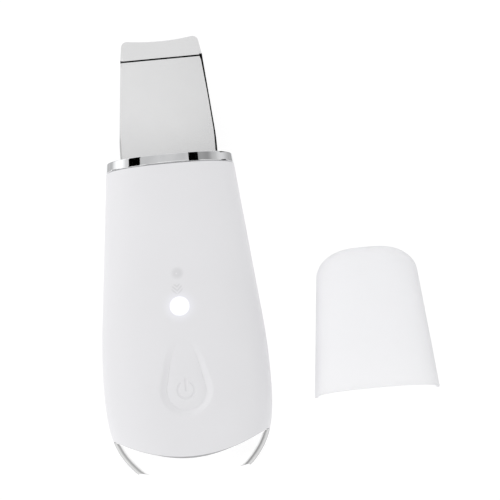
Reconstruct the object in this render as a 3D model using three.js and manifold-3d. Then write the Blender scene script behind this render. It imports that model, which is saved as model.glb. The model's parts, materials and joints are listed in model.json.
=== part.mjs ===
// Ultrasonic skin scrubber, lying on its back, with its protective cap beside it.
// Millimetres. +Z is the front (key side), +Y points to the blade tip, +X is the user's right.
// The origin is on the flat of the back casing, on the centreline.

import * as THREE from "three";
import { mergeVertices } from "three/addons/utils/BufferGeometryUtils.js";
import Module from "manifold-3d";

const wasm = await Module();
wasm.setup();

// ---------------------------------------------------------------- driving dimensions

const GAP = 0.3; // clearance between pieces that touch
const SEAM_Z = 10.8; // height of the joint between the two casings, where the body is widest
const WALL = 1.8; // casing wall

const COLLAR_BACK_Y = 59.6;
const COLLAR_FRONT_Y = 62.8;
const SHELL_END_RADIUS = 41.6; // the casings' tail edge, an arc seen from the front
const SHELL_END_Y = -37.2;
const REAR_SLOPE = 0.5; // below the joint, tail edges run forward by this much per millimetre down
const SKIRT_END_RADIUS = 50; // the clear skirt's end, a flatter arc
const SKIRT_END_Y = -43;
const SKIRT_SIDE_WALL = 3.3; // the skirt is thick at its sides and thin at its front and back
const SKIRT_FACE_WALL = 1;
const SLEEVE_WALL = 1.2; // the skirt's sleeve that plugs into the casings
const SLEEVE_DEPTH = 2.4;

const BODY_POWER = 2.5; // superellipse power of the body's section

const BLADE_THICKNESS = 1;
const BLADE_BASE_HALF = 15.8;
const BLADE_FOLD_HALF = 13.4;
const BLADE_TIP_HALF = 12.7;
const BLADE_FOLD_Y = 96.9;
const BLADE_TIP_LENGTH = 6.4;
const BLADE_TIP_ANGLE = 30; // degrees, towards the front
const BLADE_TIP_CORNER = 2;
const BLADE_TIP_HOLLOW = 0.8; // how far the tip edge curves in at its middle
const TANG_HALF = 8.5;
const TANG_END_Y = 30;

const KEY_Y = -15.6; // centre of the key's round part
const DISH_RADIUS = 8.6;
const DISH_TIP_Y = 2.2;
const DISH_DEPTH = 0.9;
const DISH_WALL = 2.1; // width of the dish's side, seen from the front
const KEY_THICKNESS = 1.2;
const KEY_TRAVEL = 0.6;
const LED_Y = [12, 17, 22.6];
const LED_POST_RADIUS = 1.3; // a post of the light guide
const SKIN_OVER_LED = 0.5;

const BOARD_BOTTOM_Z = 13.6;
const BOARD_THICKNESS = 1.2;
const BOARD_HALF_X = 16;
const BOARD_HALF_Y = 27;
const BOARD_SCREW_X = 13;
const BOARD_SCREW_Y = 23.8;
const SCREW_RADIUS = 1; // M2
const SCREW_HEAD_RADIUS = 1.9;
const SCREW_HEAD_HEIGHT = 1.2;

const CAP_X = 60.3; // the cap's axis
const CAP_MOUTH_Y = -19.6;
const CAP_LENGTH = 48;
const CAP_MOUTH_HALF = 20.1;
const CAP_SHOULDER = 39; // distance from the mouth at which the end rounds over
const CAP_SHOULDER_HALF = 16.4;
const CAP_MOUTH_HEIGHT = 17.3;
const CAP_SHOULDER_HEIGHT = 14.6;
const CAP_WALL = 1.2;
const CAP_MOUTH_SLOPE = 0.52; // the lower half of the mouth is cut back by this much per millimetre down
const CAP_POWER = 2.6;

const BOARD_TOP_Z = BOARD_BOTTOM_Z + BOARD_THICKNESS;
const BLADE_TOP_Z = SEAM_Z + BLADE_THICKNESS / 2;
const BLADE_BOTTOM_Z = SEAM_Z - BLADE_THICKNESS / 2;

// ---------------------------------------------------------------- materials

function finish(color, roughness, metalness, extra = {}) {
  return new THREE.MeshStandardMaterial({ color, roughness, metalness, ...extra });
}

const MATERIALS = {
  casing: () => finish(0xf1f1f3, 0.55, 0),
  chrome: () => finish(0xd8dade, 0.08, 1),
  steel: () => finish(0xc9cbcd, 0.22, 1),
  screw: () => finish(0x9a9da1, 0.35, 1),
  clear: () => finish(0xf4f8fa, 0.05, 0, { transparent: true, opacity: 0.3 }),
  frosted: () => finish(0xf3f3f5, 0.45, 0),
  nylon: () => finish(0xe6e5e0, 0.5, 0),
  silicone: () => finish(0xdedede, 0.7, 0),
  ceramic: () => finish(0xb9b6a8, 0.4, 0.2),
  board: () => finish(0x1f6b3c, 0.5, 0),
  lamp: () => finish(0xfdfdff, 0.3, 0, { emissive: 0xffffff }),
  black: () => finish(0x1c1c1e, 0.5, 0),
  ferrite: () => finish(0x3a3a3d, 0.6, 0.1),
  cell: () => finish(0xb8bcc2, 0.4, 0.6),
  foam: () => finish(0x2c2c2e, 0.9, 0),
  redWire: () => finish(0xb3202a, 0.5, 0),
  blackWire: () => finish(0x19191b, 0.5, 0),
};

// ---------------------------------------------------------------- solids and booleans

function closedMesh(positions, corners) {
  const mesh = new wasm.Mesh({ numProp: 3, vertProperties: positions, triVerts: corners });
  return new wasm.Manifold(mesh);
}

// A closed geometry as a solid. Its faces may be wound either way.
function toSolid(geometry) {
  const bare = new THREE.BufferGeometry();
  bare.setAttribute("position", geometry.getAttribute("position").clone());
  if (geometry.index) {
    bare.setIndex(geometry.index.clone());
  }
  const merged = mergeVertices(bare, 1e-4);
  const positions = new Float32Array(merged.getAttribute("position").array);
  const corners = new Uint32Array(merged.index.array);
  const solid = closedMesh(positions, corners);
  return solid.volume() < 0 ? closedMesh(positions, corners.reverse()) : solid;
}

function toGeometry(solid) {
  const mesh = solid.getMesh();
  const geometry = new THREE.BufferGeometry();
  geometry.setAttribute("position", new THREE.BufferAttribute(new Float32Array(mesh.vertProperties), 3));
  geometry.setIndex(new THREE.BufferAttribute(new Uint32Array(mesh.triVerts), 1));
  geometry.computeVertexNormals();
  return geometry;
}

function box(x0, x1, y0, y1, z0, z1) {
  const geometry = new THREE.BoxGeometry(x1 - x0, y1 - y0, z1 - z0);
  geometry.translate((x0 + x1) / 2, (y0 + y1) / 2, (z0 + z1) / 2);
  return toSolid(geometry);
}

// A shape in the XY plane, pushed up from z0 to z1.
function prism(shape, z0, z1, curveSegments = 10) {
  const geometry = new THREE.ExtrudeGeometry(shape, {
    depth: z1 - z0,
    bevelEnabled: false,
    curveSegments,
  });
  geometry.translate(0, 0, z0);
  return toSolid(geometry);
}

// A shape in the XZ plane, pushed along Y from y0 to y1.
function prismAlongY(shape, y0, y1, curveSegments = 8) {
  const geometry = new THREE.ExtrudeGeometry(shape, {
    depth: y1 - y0,
    bevelEnabled: false,
    curveSegments,
  });
  geometry.rotateX(Math.PI / 2);
  geometry.translate(0, y1, 0);
  return toSolid(geometry);
}

function roundedRectangle(halfWidth, halfHeight, radius, cx = 0, cy = 0) {
  const shape = new THREE.Shape();
  const inner = [halfWidth - radius, halfHeight - radius];
  shape.absarc(cx + inner[0], cy + inner[1], radius, 0, Math.PI / 2);
  shape.absarc(cx - inner[0], cy + inner[1], radius, Math.PI / 2, Math.PI);
  shape.absarc(cx - inner[0], cy - inner[1], radius, Math.PI, 1.5 * Math.PI);
  shape.absarc(cx + inner[0], cy - inner[1], radius, 1.5 * Math.PI, 2 * Math.PI);
  shape.closePath();
  return shape;
}

// A solid of revolution about a vertical line: the profile is a list of [radius, z].
function turned(profile, x, y, segments = 16) {
  const points = profile.map(([r, z]) => new THREE.Vector2(r, z));
  const geometry = new THREE.LatheGeometry(points, segments);
  geometry.rotateX(Math.PI / 2);
  geometry.translate(x, y, 0);
  return toSolid(geometry);
}

function rod(radius, x, y, z0, z1, segments = 10) {
  return turned([[0, z0], [radius, z0], [radius, z1], [0, z1]], x, y, segments);
}

// A round wire through the given points.
function wire(points, radius) {
  const path = new THREE.CatmullRomCurve3(points.map(([x, y, z]) => new THREE.Vector3(x, y, z)));
  const section = new THREE.Shape();
  section.absarc(0, 0, radius, 0, 2 * Math.PI);
  return toSolid(
    new THREE.ExtrudeGeometry(section, {
      steps: 6,
      curveSegments: 3,
      bevelEnabled: false,
      extrudePath: path,
    }),
  );
}

// ---------------------------------------------------------------- the body's outer surface

// Reads a path drawn in the (y, value) plane, with y always falling, as value(y).
function profileOf(path) {
  const points = path.getPoints(24);
  return (y) => {
    let i = 1;
    while (i < points.length - 1 && points[i].x > y) {
      i += 1;
    }
    const [a, b] = [points[i - 1], points[i]];
    return a.y + ((b.y - a.y) * (y - a.x)) / (b.x - a.x);
  };
}

const halfWidthAt = profileOf(
  new THREE.Path()
    .moveTo(70, 19.75)
    .lineTo(14.7, 25.25)
    .bezierCurveTo(11, 25.62, 2, 26.84, -11.3, 26.84)
    .bezierCurveTo(-29.3, 26.84, -34.5, 24.2, -44, 13.1),
);

const frontHeightAt = profileOf(
  new THREE.Path()
    .moveTo(70, 18.9)
    .lineTo(62.8, 19.4)
    .bezierCurveTo(40, 21, 16, 21.9, -8, 21.9)
    .bezierCurveTo(-24, 21.9, -37, 20.4, -44, 16.8),
);

// Just under zero along the middle, where the section is cut flat at zero.
const backHeightAt = profileOf(
  new THREE.Path()
    .moveTo(70, 3)
    .lineTo(62.8, 2.2)
    .bezierCurveTo(55, 1.4, 46, -0.35, 36, -0.35)
    .lineTo(-22, -0.35)
    .bezierCurveTo(-31, -0.35, -38, 1.6, -44, 4.8),
);

// The point of the body's section at y and angle, moved inwards at the sides and at the faces.
function bodyPoint(y, angle, sideInset, faceInset) {
  const c = Math.cos(angle);
  const s = Math.sin(angle);
  const power = 2 / BODY_POWER;
  const halfWidth = halfWidthAt(y) - sideInset;
  const x = Math.sign(c) * halfWidth * Math.abs(c) ** power;
  if (s >= 0) {
    return [x, SEAM_Z + (frontHeightAt(y) - faceInset - SEAM_Z) * s ** power];
  }
  const z = SEAM_Z - (SEAM_Z - backHeightAt(y) - faceInset) * (-s) ** power;
  return [x, Math.max(z, faceInset)];
}

// Closed skin through sections at the given stations: point(y, angle) gives x and z.
function skin(stations, sides, centre, point) {
  const rings = stations.length - 1;
  const geometry = new THREE.CylinderGeometry(1, 1, 1, sides, rings);
  const position = geometry.getAttribute("position");
  for (let i = 0; i < position.count; i += 1) {
    const [ux, uy, uz] = [position.getX(i), position.getY(i), position.getZ(i)];
    const y = stations[Math.round((uy + 0.5) * rings)];
    const radius = Math.hypot(ux, uz);
    const turn = Math.round((Math.atan2(uz, ux) / (2 * Math.PI)) * sides) / sides;
    const angle = turn * 2 * Math.PI;
    const [x, z] = point(y, angle);
    const [cx, cz] = centre(y);
    position.setXYZ(i, cx + (x - cx) * radius, y, cz + (z - cz) * radius);
  }
  return toSolid(geometry);
}

const BODY_STATIONS = [-44, -40.5, -37, -33, -28.5, -23, -17, -11.3, -8, 1, 10, 21, 37, 54, 66];
const BODY_SIDES = 24;

function body(sideInset, faceInset = sideInset) {
  const point = (y, angle) => bodyPoint(y, angle, sideInset, faceInset);
  return skin(BODY_STATIONS, BODY_SIDES, () => [0, SEAM_Z], point);
}

// Everything on the +Y side of an arc that bulges towards the tail, whose lowest point is at y.
// Below the joint the surface leans forward.
function aheadOfArc(y, radius, steps = 8) {
  const reach = 30;
  const shape = new THREE.Shape();
  shape.moveTo(reach, 80);
  shape.lineTo(-reach, 80);
  for (let i = 0; i <= steps; i += 1) {
    const x = -reach + (2 * reach * i) / steps;
    shape.lineTo(x, y + radius - Math.sqrt(radius * radius - x * x));
  }
  shape.closePath();
  const lower = prism(shape, -5, SEAM_Z).warp((v) => {
    v[1] += REAR_SLOPE * (SEAM_Z - v[2]);
  });
  return prism(shape, SEAM_Z, 30).add(lower);
}

const slab = (y0, y1) => box(-40, 40, y0, y1, -5, 40);

// ---------------------------------------------------------------- the key's teardrop outline

// Round part of the given radius about the key's centre, drawn out to a broad, blunt tip.
function teardrop(radius, tipY) {
  const shape = new THREE.Shape();
  const shoulder = 0.26; // angle above the centre at which the sides leave the circle
  const sx = radius * Math.cos(shoulder);
  const sy = KEY_Y + radius * Math.sin(shoulder);
  const pull = (tipY - sy) * 0.45;
  const nose = radius * 0.6;
  shape.moveTo(sx, sy);
  shape.bezierCurveTo(sx - pull * Math.tan(shoulder), sy + pull, nose, tipY, 0, tipY);
  shape.bezierCurveTo(-nose, tipY, -sx + pull * Math.tan(shoulder), sy + pull, -sx, sy);
  shape.absarc(0, KEY_Y, radius, Math.PI - shoulder, 2 * Math.PI + shoulder);
  return shape;
}

// ---------------------------------------------------------------- assembly

const group = new THREE.Group();
group.name = "skin_scrubber";

function add(name, solid, material) {
  const mesh = new THREE.Mesh(toGeometry(solid), MATERIALS[material]());
  mesh.name = name;
  group.add(mesh);
}

const outer = body(0);
const hollow = body(WALL);
const lined = body(WALL + GAP); // what fits inside the casings
const skirtLine = aheadOfArc(SHELL_END_Y, SHELL_END_RADIUS);
const casingSpan = skirtLine.intersect(slab(-60, COLLAR_BACK_Y - GAP));

const bossAt = (x, y) => rod(2.5, x, y, BOARD_TOP_Z + GAP, 26, 8).intersect(body(0.9));
const SCREW_SIDES = [-1, 1];
const boardScrewPlaces = SCREW_SIDES.flatMap((i) =>
  SCREW_SIDES.map((j) => [i * BOARD_SCREW_X, j * BOARD_SCREW_Y]),
);
const casingWall = outer.subtract(hollow).intersect(casingSpan);

function frontShell() {
  let solid = casingWall.intersect(box(-40, 40, -60, 80, SEAM_Z + GAP / 2, 40));
  const pit = prism(teardrop(DISH_RADIUS, DISH_TIP_Y), SEAM_Z + 3, 30);
  const step = DISH_WALL - GAP;
  const well = prism(teardrop(DISH_RADIUS - step, DISH_TIP_Y - step), SEAM_Z + 3, 30);
  solid = solid.subtract(pit.subtract(body(DISH_DEPTH))).subtract(well);
  for (const y of LED_Y) {
    const pocket = rod(LED_POST_RADIUS + GAP, 0, y, SEAM_Z + 3, 26, 8);
    solid = solid.subtract(pocket.intersect(body(SKIN_OVER_LED)));
  }
  for (const [x, y] of boardScrewPlaces) {
    solid = solid.add(bossAt(x, y)).subtract(rod(SCREW_RADIUS + GAP, x, y, 10, BOARD_TOP_Z + 3.5, 8));
  }
  return solid;
}

const TAIL_SCREW_X = 11;
const TAIL_SCREW_Z = 8;
const PILLAR_Y = [-27.1, -21.3];

function rodAlongY(radius, x, z, y0, y1, segments = 8) {
  const section = new THREE.Shape();
  section.absarc(x, z, radius, 0, 2 * Math.PI);
  const geometry = new THREE.ExtrudeGeometry(section, {
    depth: y1 - y0,
    bevelEnabled: false,
    curveSegments: segments / 2,
  });
  geometry.rotateX(Math.PI / 2);
  geometry.translate(0, y1, 0);
  return toSolid(geometry);
}

function rearShell() {
  let solid = casingWall.intersect(box(-40, 40, -60, 80, -5, SEAM_Z - GAP / 2));
  for (const side of SCREW_SIDES) {
    const x = side * TAIL_SCREW_X;
    const pillar = box(x - 2.6, x + 2.6, ...PILLAR_Y, -1, TAIL_SCREW_Z + 2.6).intersect(body(0.9));
    solid = solid.add(pillar).subtract(rodAlongY(SCREW_RADIUS + GAP, x, TAIL_SCREW_Z, -30, -20));
  }
  return solid;
}

add("front_shell", frontShell(), "casing");
add("rear_shell", rearShell(), "casing");

// Sealing cords pressed against the inside of the casings' joint, one on each side.
const GASKET_Y = [-22, 54];
const GASKET_SIZE = 1.1;
const gasketRing = lined.subtract(body(WALL + GAP + GASKET_SIZE));
for (const [side, name] of [[-1, "left"], [1, "right"]]) {
  const [x0, x1] = side < 0 ? [-40, -10] : [10, 40];
  const [z0, z1] = [SEAM_Z - GASKET_SIZE / 2, SEAM_Z + GASKET_SIZE / 2];
  add(`shell_gasket_${name}`, gasketRing.intersect(box(x0, x1, ...GASKET_Y, z0, z1)), "silicone");
}

// Bright band round the neck.
add("chrome_collar", outer.subtract(hollow).intersect(slab(COLLAR_BACK_Y, COLLAR_FRONT_Y)), "chrome");

// Plug in the neck: a disc with a slot for the blade, and a shelf under the tang.
const CARRIER_BACK_Y = 55.4;
const CARRIER_FRONT_Y = COLLAR_FRONT_Y - 0.5;
const SLOT_HALF = BLADE_BASE_HALF + 1.5;
const SLOT_HALF_HEIGHT = 1.9;
const SHELF_BACK_Y = 48;
const CLAMP_SCREW_X = 11.6;
const CLAMP_SCREW_Y = 51.2;
const CLAMP_TOP_Z = 14.2;

function neckCarrier() {
  const plug = lined.intersect(slab(CARRIER_BACK_Y, CARRIER_FRONT_Y));
  const slotZ = [SEAM_Z - SLOT_HALF_HEIGHT, SEAM_Z + SLOT_HALF_HEIGHT];
  const slot = box(-SLOT_HALF, SLOT_HALF, 50, 70, ...slotZ);
  const shelf = box(-14.5, 14.5, SHELF_BACK_Y, CARRIER_BACK_Y + 1, 5, BLADE_BOTTOM_Z - GAP);
  let solid = plug.subtract(slot).add(shelf);
  for (const side of SCREW_SIDES) {
    solid = solid.subtract(rod(SCREW_RADIUS + GAP, side * CLAMP_SCREW_X, CLAMP_SCREW_Y, 5.8, 12, 8));
  }
  return solid;
}
add("neck_carrier", neckCarrier(), "nylon");

function bladeSeal() {
  const ring = prismAlongY(
    roundedRectangle(SLOT_HALF - GAP, SLOT_HALF_HEIGHT - GAP, 0.8, 0, SEAM_Z),
    CARRIER_BACK_Y + 1.2,
    CARRIER_FRONT_Y,
    3,
  );
  const hole = prismAlongY(
    roundedRectangle(BLADE_BASE_HALF + GAP + 0.1, BLADE_THICKNESS / 2 + GAP, 0.3, 0, SEAM_Z),
    50,
    70,
    2,
  );
  return ring.subtract(hole);
}
add("blade_seal", bladeSeal(), "silicone");

// Blade: a tang, a tapering plate, and a tip folded up towards the front.
function blade() {
  const plate = new THREE.Shape();
  plate.moveTo(-TANG_HALF, TANG_END_Y + 1);
  plate.quadraticCurveTo(-TANG_HALF, TANG_END_Y, -TANG_HALF + 1, TANG_END_Y);
  plate.lineTo(TANG_HALF - 1, TANG_END_Y);
  plate.quadraticCurveTo(TANG_HALF, TANG_END_Y, TANG_HALF, TANG_END_Y + 1);
  plate.lineTo(TANG_HALF, 52);
  plate.bezierCurveTo(TANG_HALF, 54.5, BLADE_BASE_HALF, 53.5, BLADE_BASE_HALF, 56.5);
  plate.lineTo(BLADE_BASE_HALF, 66);
  plate.quadraticCurveTo(BLADE_BASE_HALF, 69, BLADE_BASE_HALF - 0.22, 71.5);
  plate.lineTo(BLADE_FOLD_HALF, BLADE_FOLD_Y);
  plate.lineTo(-BLADE_FOLD_HALF, BLADE_FOLD_Y);
  plate.lineTo(-BLADE_BASE_HALF + 0.22, 71.5);
  plate.quadraticCurveTo(-BLADE_BASE_HALF, 69, -BLADE_BASE_HALF, 66);
  plate.lineTo(-BLADE_BASE_HALF, 56.5);
  plate.bezierCurveTo(-BLADE_BASE_HALF, 53.5, -TANG_HALF, 54.5, -TANG_HALF, 52);
  plate.closePath();

  const tip = new THREE.Shape();
  const cornerY = BLADE_TIP_LENGTH - BLADE_TIP_CORNER;
  const cornerX = BLADE_TIP_HALF - BLADE_TIP_CORNER;
  tip.moveTo(-BLADE_FOLD_HALF, 0);
  tip.lineTo(BLADE_FOLD_HALF, 0);
  tip.lineTo(BLADE_TIP_HALF, cornerY);
  tip.quadraticCurveTo(BLADE_TIP_HALF, BLADE_TIP_LENGTH, cornerX, BLADE_TIP_LENGTH);
  tip.quadraticCurveTo(0, BLADE_TIP_LENGTH - 2 * BLADE_TIP_HOLLOW, -cornerX, BLADE_TIP_LENGTH);
  tip.quadraticCurveTo(-BLADE_TIP_HALF, BLADE_TIP_LENGTH, -BLADE_TIP_HALF, cornerY);
  tip.closePath();

  const folded = new THREE.ExtrudeGeometry(tip, {
    depth: BLADE_THICKNESS,
    bevelEnabled: false,
    curveSegments: 6,
  });
  folded.translate(0, 0, -BLADE_THICKNESS);
  folded.rotateX(THREE.MathUtils.degToRad(BLADE_TIP_ANGLE));
  folded.translate(0, BLADE_FOLD_Y - 0.01, BLADE_TOP_Z);
  return prism(plate, BLADE_BOTTOM_Z, BLADE_TOP_Z, 4).add(toSolid(folded));
}
add("spatula_blade", blade(), "steel");

function bladeClamp() {
  let solid = prism(
    roundedRectangle(14.5, 2.6, 1, 0, CLAMP_SCREW_Y),
    BLADE_TOP_Z + GAP,
    CLAMP_TOP_Z,
    3,
  );
  for (const side of SCREW_SIDES) {
    solid = solid.subtract(rod(SCREW_RADIUS + GAP, side * CLAMP_SCREW_X, CLAMP_SCREW_Y, 8, 20, 8));
  }
  return solid;
}
add("blade_clamp", bladeClamp(), "nylon");

// Pan-head screw: head on the +Z side of headZ when up is 1, on the -Z side when up is -1.
function screw(x, y, headZ, length, up) {
  const profile = [
    [0, headZ - up * length],
    [SCREW_RADIUS * 0.6, headZ - up * length],
    [SCREW_RADIUS, headZ - up * (length - 0.5)],
    [SCREW_RADIUS, headZ],
    [SCREW_HEAD_RADIUS, headZ],
    [SCREW_HEAD_RADIUS, headZ + up * SCREW_HEAD_HEIGHT * 0.6],
    [SCREW_HEAD_RADIUS * 0.7, headZ + up * SCREW_HEAD_HEIGHT],
    [0, headZ + up * SCREW_HEAD_HEIGHT],
  ];
  return turned(profile, x, y, 8);
}
add("clamp_screw_left", screw(-CLAMP_SCREW_X, CLAMP_SCREW_Y, CLAMP_TOP_Z + GAP, 8, 1), "screw");
add("clamp_screw_right", screw(CLAMP_SCREW_X, CLAMP_SCREW_Y, CLAMP_TOP_Z + GAP, 8, 1), "screw");

// Transducer under the tang, and its two leads.
const DISC_Y = 39;
const DISC_RADIUS = 8;
const DISC_TOP_Z = BLADE_BOTTOM_Z - GAP;
const DISC_THICKNESS = 2.2;
const discBottom = DISC_TOP_Z - DISC_THICKNESS;
add("piezo_disc", rod(DISC_RADIUS, 0, DISC_Y, discBottom, DISC_TOP_Z, 20), "ceramic");

for (const [side, name] of [[-1, "left"], [1, "right"]]) {
  const route = [
    [side * 5, DISC_Y - 1, discBottom - 0.8],
    [side * 6.5, DISC_Y - 7, discBottom - 0.6],
    [side * 8, DISC_Y - 11.5, 9.4],
    [side * 8, BOARD_HALF_Y - 1.2, BOARD_BOTTOM_Z - GAP - 0.2],
  ];
  add(`piezo_lead_${name}`, wire(route, 0.5), name === "left" ? "blackWire" : "redWire");
}

// Main board, hung from the front casing's bosses.
function mainBoard() {
  let solid = prism(
    roundedRectangle(BOARD_HALF_X, BOARD_HALF_Y, 2),
    BOARD_BOTTOM_Z,
    BOARD_TOP_Z,
    3,
  );
  for (const [x, y] of boardScrewPlaces) {
    solid = solid.subtract(rod(SCREW_RADIUS + GAP, x, y, 10, 20, 8));
  }
  return solid;
}
add("main_board", mainBoard(), "board");

boardScrewPlaces.forEach(([x, y], i) => {
  add(`board_screw_${i + 1}`, screw(x, y, BOARD_BOTTOM_Z - GAP, 4.6, -1), "screw");
});

// Indicator lamps, and the light guide whose posts carry their light to the thin skin above.
const LAMP_BOTTOM_Z = BOARD_TOP_Z + GAP;
const GUIDE_BOTTOM_Z = LAMP_BOTTOM_Z + 0.8 + GAP;

LED_Y.forEach((y, i) => {
  const lampOutline = roundedRectangle(0.8, 0.8, 0.2, 0, y);
  add(`mode_led_${i + 1}`, prism(lampOutline, LAMP_BOTTOM_Z, LAMP_BOTTOM_Z + 0.8, 2), "lamp");
});

function lightGuide() {
  const middle = (LED_Y[0] + LED_Y[2]) / 2;
  const halfLength = (LED_Y[2] - LED_Y[0]) / 2 + 2.4;
  let solid = prism(
    roundedRectangle(2.4, halfLength, 2, 0, middle),
    GUIDE_BOTTOM_Z,
    GUIDE_BOTTOM_Z + 1,
    4,
  );
  for (const y of LED_Y) {
    const top = frontHeightAt(y) - SKIN_OVER_LED - GAP - 0.15;
    solid = solid.add(rod(LED_POST_RADIUS, 0, y, GUIDE_BOTTOM_Z + 0.5, top, 8));
  }
  return solid;
}
add("light_guide", lightGuide(), "clear");

// Key: a teardrop plate that follows the front surface, with a stem down to the switch.
const SWITCH_TOP_Z = LAMP_BOTTOM_Z + 2.4;
const PLUNGER_TOP_Z = SWITCH_TOP_Z + 1;

function powerButton() {
  const outline = teardrop(DISH_RADIUS - DISH_WALL, DISH_TIP_Y - DISH_WALL);
  const plate = prism(outline, SEAM_Z + 3, 30)
    .intersect(body(DISH_DEPTH))
    .subtract(body(DISH_DEPTH + KEY_THICKNESS));
  const stem = rod(2, 0, KEY_Y, PLUNGER_TOP_Z + GAP, 20.4, 8);
  return plate.add(stem);
}
add("power_button", powerButton(), "casing");
add("switch_plunger", rod(1.5, 0, KEY_Y, LAMP_BOTTOM_Z + 1, PLUNGER_TOP_Z, 8), "black");

function tactSwitch() {
  const outline = roundedRectangle(3, 3, 0.4, 0, KEY_Y);
  return prism(outline, LAMP_BOTTOM_Z, SWITCH_TOP_Z, 2).subtract(
    rod(1.8, 0, KEY_Y, LAMP_BOTTOM_Z + 0.3, 30, 8),
  );
}
add("tact_switch", tactSwitch(), "black");

// Rubber ring round the stem, with a raised rim that seals against the front casing.
function buttonMembrane() {
  const rimTop = frontHeightAt(KEY_Y) - DISH_DEPTH - KEY_THICKNESS - KEY_TRAVEL - GAP;
  const base = rimTop - 0.5;
  return turned(
    [
      [2.4, base - 0.4],
      [9.4, base - 0.4],
      [9.4, base + 0.6],
      [8.4, base + 0.6],
      [8.2, base],
      [2.4, base],
      [2.4, base - 0.4],
    ],
    0,
    KEY_Y,
    16,
  );
}
add("button_membrane", buttonMembrane(), "silicone");

// Two flanges and a core that hang under the board.
function driveTransformer() {
  const y = 19.5;
  const top = BOARD_BOTTOM_Z - GAP;
  const flange = (z0, z1) => prism(roundedRectangle(5.4, 5, 0.6, 0, y), z0, z1, 2);
  return flange(top - 1.2, top)
    .add(rod(3.4, 0, y, top - 5, top - 0.6, 12))
    .add(flange(top - 6, top - 4.8));
}
add("drive_transformer", driveTransformer(), "ferrite");

// Battery in its tray, on a foam pad.
const TRAY = { x: 12.6, y0: -20.6, y1: 13.4, floor: WALL + GAP, wall: 1.1 };
const CELL_BOTTOM_Z = TRAY.floor + 1 + GAP + 0.8 + GAP;
const CELL_TOP_Z = CELL_BOTTOM_Z + 6;

function trayBox(inset, z0, z1) {
  const halfY = (TRAY.y1 - TRAY.y0) / 2 - inset;
  const outline = roundedRectangle(TRAY.x - inset, halfY, 2, 0, (TRAY.y1 + TRAY.y0) / 2);
  return prism(outline, z0, z1, 3);
}
const traySolid = trayBox(0, TRAY.floor, TRAY.floor + 5)
  .subtract(trayBox(TRAY.wall, TRAY.floor + 1, 20))
  .intersect(lined);
add("battery_tray", traySolid, "nylon");
add("battery_pad", trayBox(TRAY.wall + GAP, TRAY.floor + 1 + GAP, CELL_BOTTOM_Z - GAP), "foam");
add("battery_cell", trayBox(TRAY.wall + GAP, CELL_BOTTOM_Z, CELL_TOP_Z), "cell");

for (const [side, name] of [[-1, "black"], [1, "red"]]) {
  const start = TRAY.y0 - 0.9;
  const route = [
    [side * 3, start, CELL_TOP_Z - 1],
    [side * 3, start - 1.2, CELL_TOP_Z + 0.4],
    [side * 3.6, start - 0.6, CELL_TOP_Z + 1.6],
    [side * 4, start + 0.9, BOARD_BOTTOM_Z - GAP - 0.2],
  ];
  add(`battery_lead_${name}`, wire(route, 0.5), `${name}Wire`);
}

// ---------------------------------------------------------------- the tail

// A hoop beyond the casings, and a sleeve inside them that joins it at its thick sides.
function clearSkirt() {
  const end = aheadOfArc(SKIRT_END_Y, SKIRT_END_RADIUS);
  const edge = aheadOfArc(SHELL_END_Y - GAP, SHELL_END_RADIUS);
  const hoop = outer.subtract(body(SKIRT_SIDE_WALL, SKIRT_FACE_WALL)).intersect(end).subtract(edge);
  const sleeveOuter = WALL + GAP;
  const sleeve = body(sleeveOuter)
    .subtract(body(sleeveOuter + SLEEVE_WALL))
    .intersect(aheadOfArc(SHELL_END_Y - GAP - 0.6, SHELL_END_RADIUS))
    .subtract(aheadOfArc(SHELL_END_Y + SLEEVE_DEPTH, SHELL_END_RADIUS));
  return hoop.add(sleeve);
}
add("clear_skirt", clearSkirt(), "clear");

// Bulkhead with the inlet's opening and two counterbored screw holes.
const SOCKET_HALF = 4.5;
const SOCKET_HALF_HEIGHT = 1.6;
const SOCKET_FRONT_Y = -34.7;
const SOCKET_BACK_Y = -25.6;
const FRAME_RECESS = 2.3; // how far its face stands inside the casings' tail edge
const FRAME_BACK_Y = PILLAR_Y[0] - 0.4;

function stadium(grow) {
  const halfHeight = SOCKET_HALF_HEIGHT + grow;
  return roundedRectangle(SOCKET_HALF + grow, halfHeight, halfHeight - 0.01, 0, SEAM_Z);
}

const TAIL_HEAD_Y = -29.1; // floor of the screws' counterbores

function tailFrame() {
  const inside = body(WALL + 2 * GAP + SLEEVE_WALL);
  let solid = inside
    .intersect(aheadOfArc(SHELL_END_Y + FRAME_RECESS, SHELL_END_RADIUS))
    .intersect(slab(-60, FRAME_BACK_Y))
    .subtract(prismAlongY(stadium(GAP), -45, -20, 5));
  for (const side of SCREW_SIDES) {
    const x = side * TAIL_SCREW_X;
    solid = solid
      .subtract(rodAlongY(SCREW_RADIUS + GAP, x, TAIL_SCREW_Z, -45, -20))
      .subtract(rodAlongY(SCREW_HEAD_RADIUS + GAP, x, TAIL_SCREW_Z, -45, TAIL_HEAD_Y));
  }
  return solid;
}
add("tail_frame", tailFrame(), "casing");

for (const [side, name] of [[-1, "left"], [1, "right"]]) {
  const x = side * TAIL_SCREW_X;
  const headY = TAIL_HEAD_Y - GAP;
  const head = rodAlongY(SCREW_HEAD_RADIUS, x, TAIL_SCREW_Z, headY - 1.3, headY);
  const shank = rodAlongY(SCREW_RADIUS, x, TAIL_SCREW_Z, headY - 0.7, headY + 7.6);
  add(`tail_screw_${name}`, head.add(shank), "screw");
}

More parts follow.
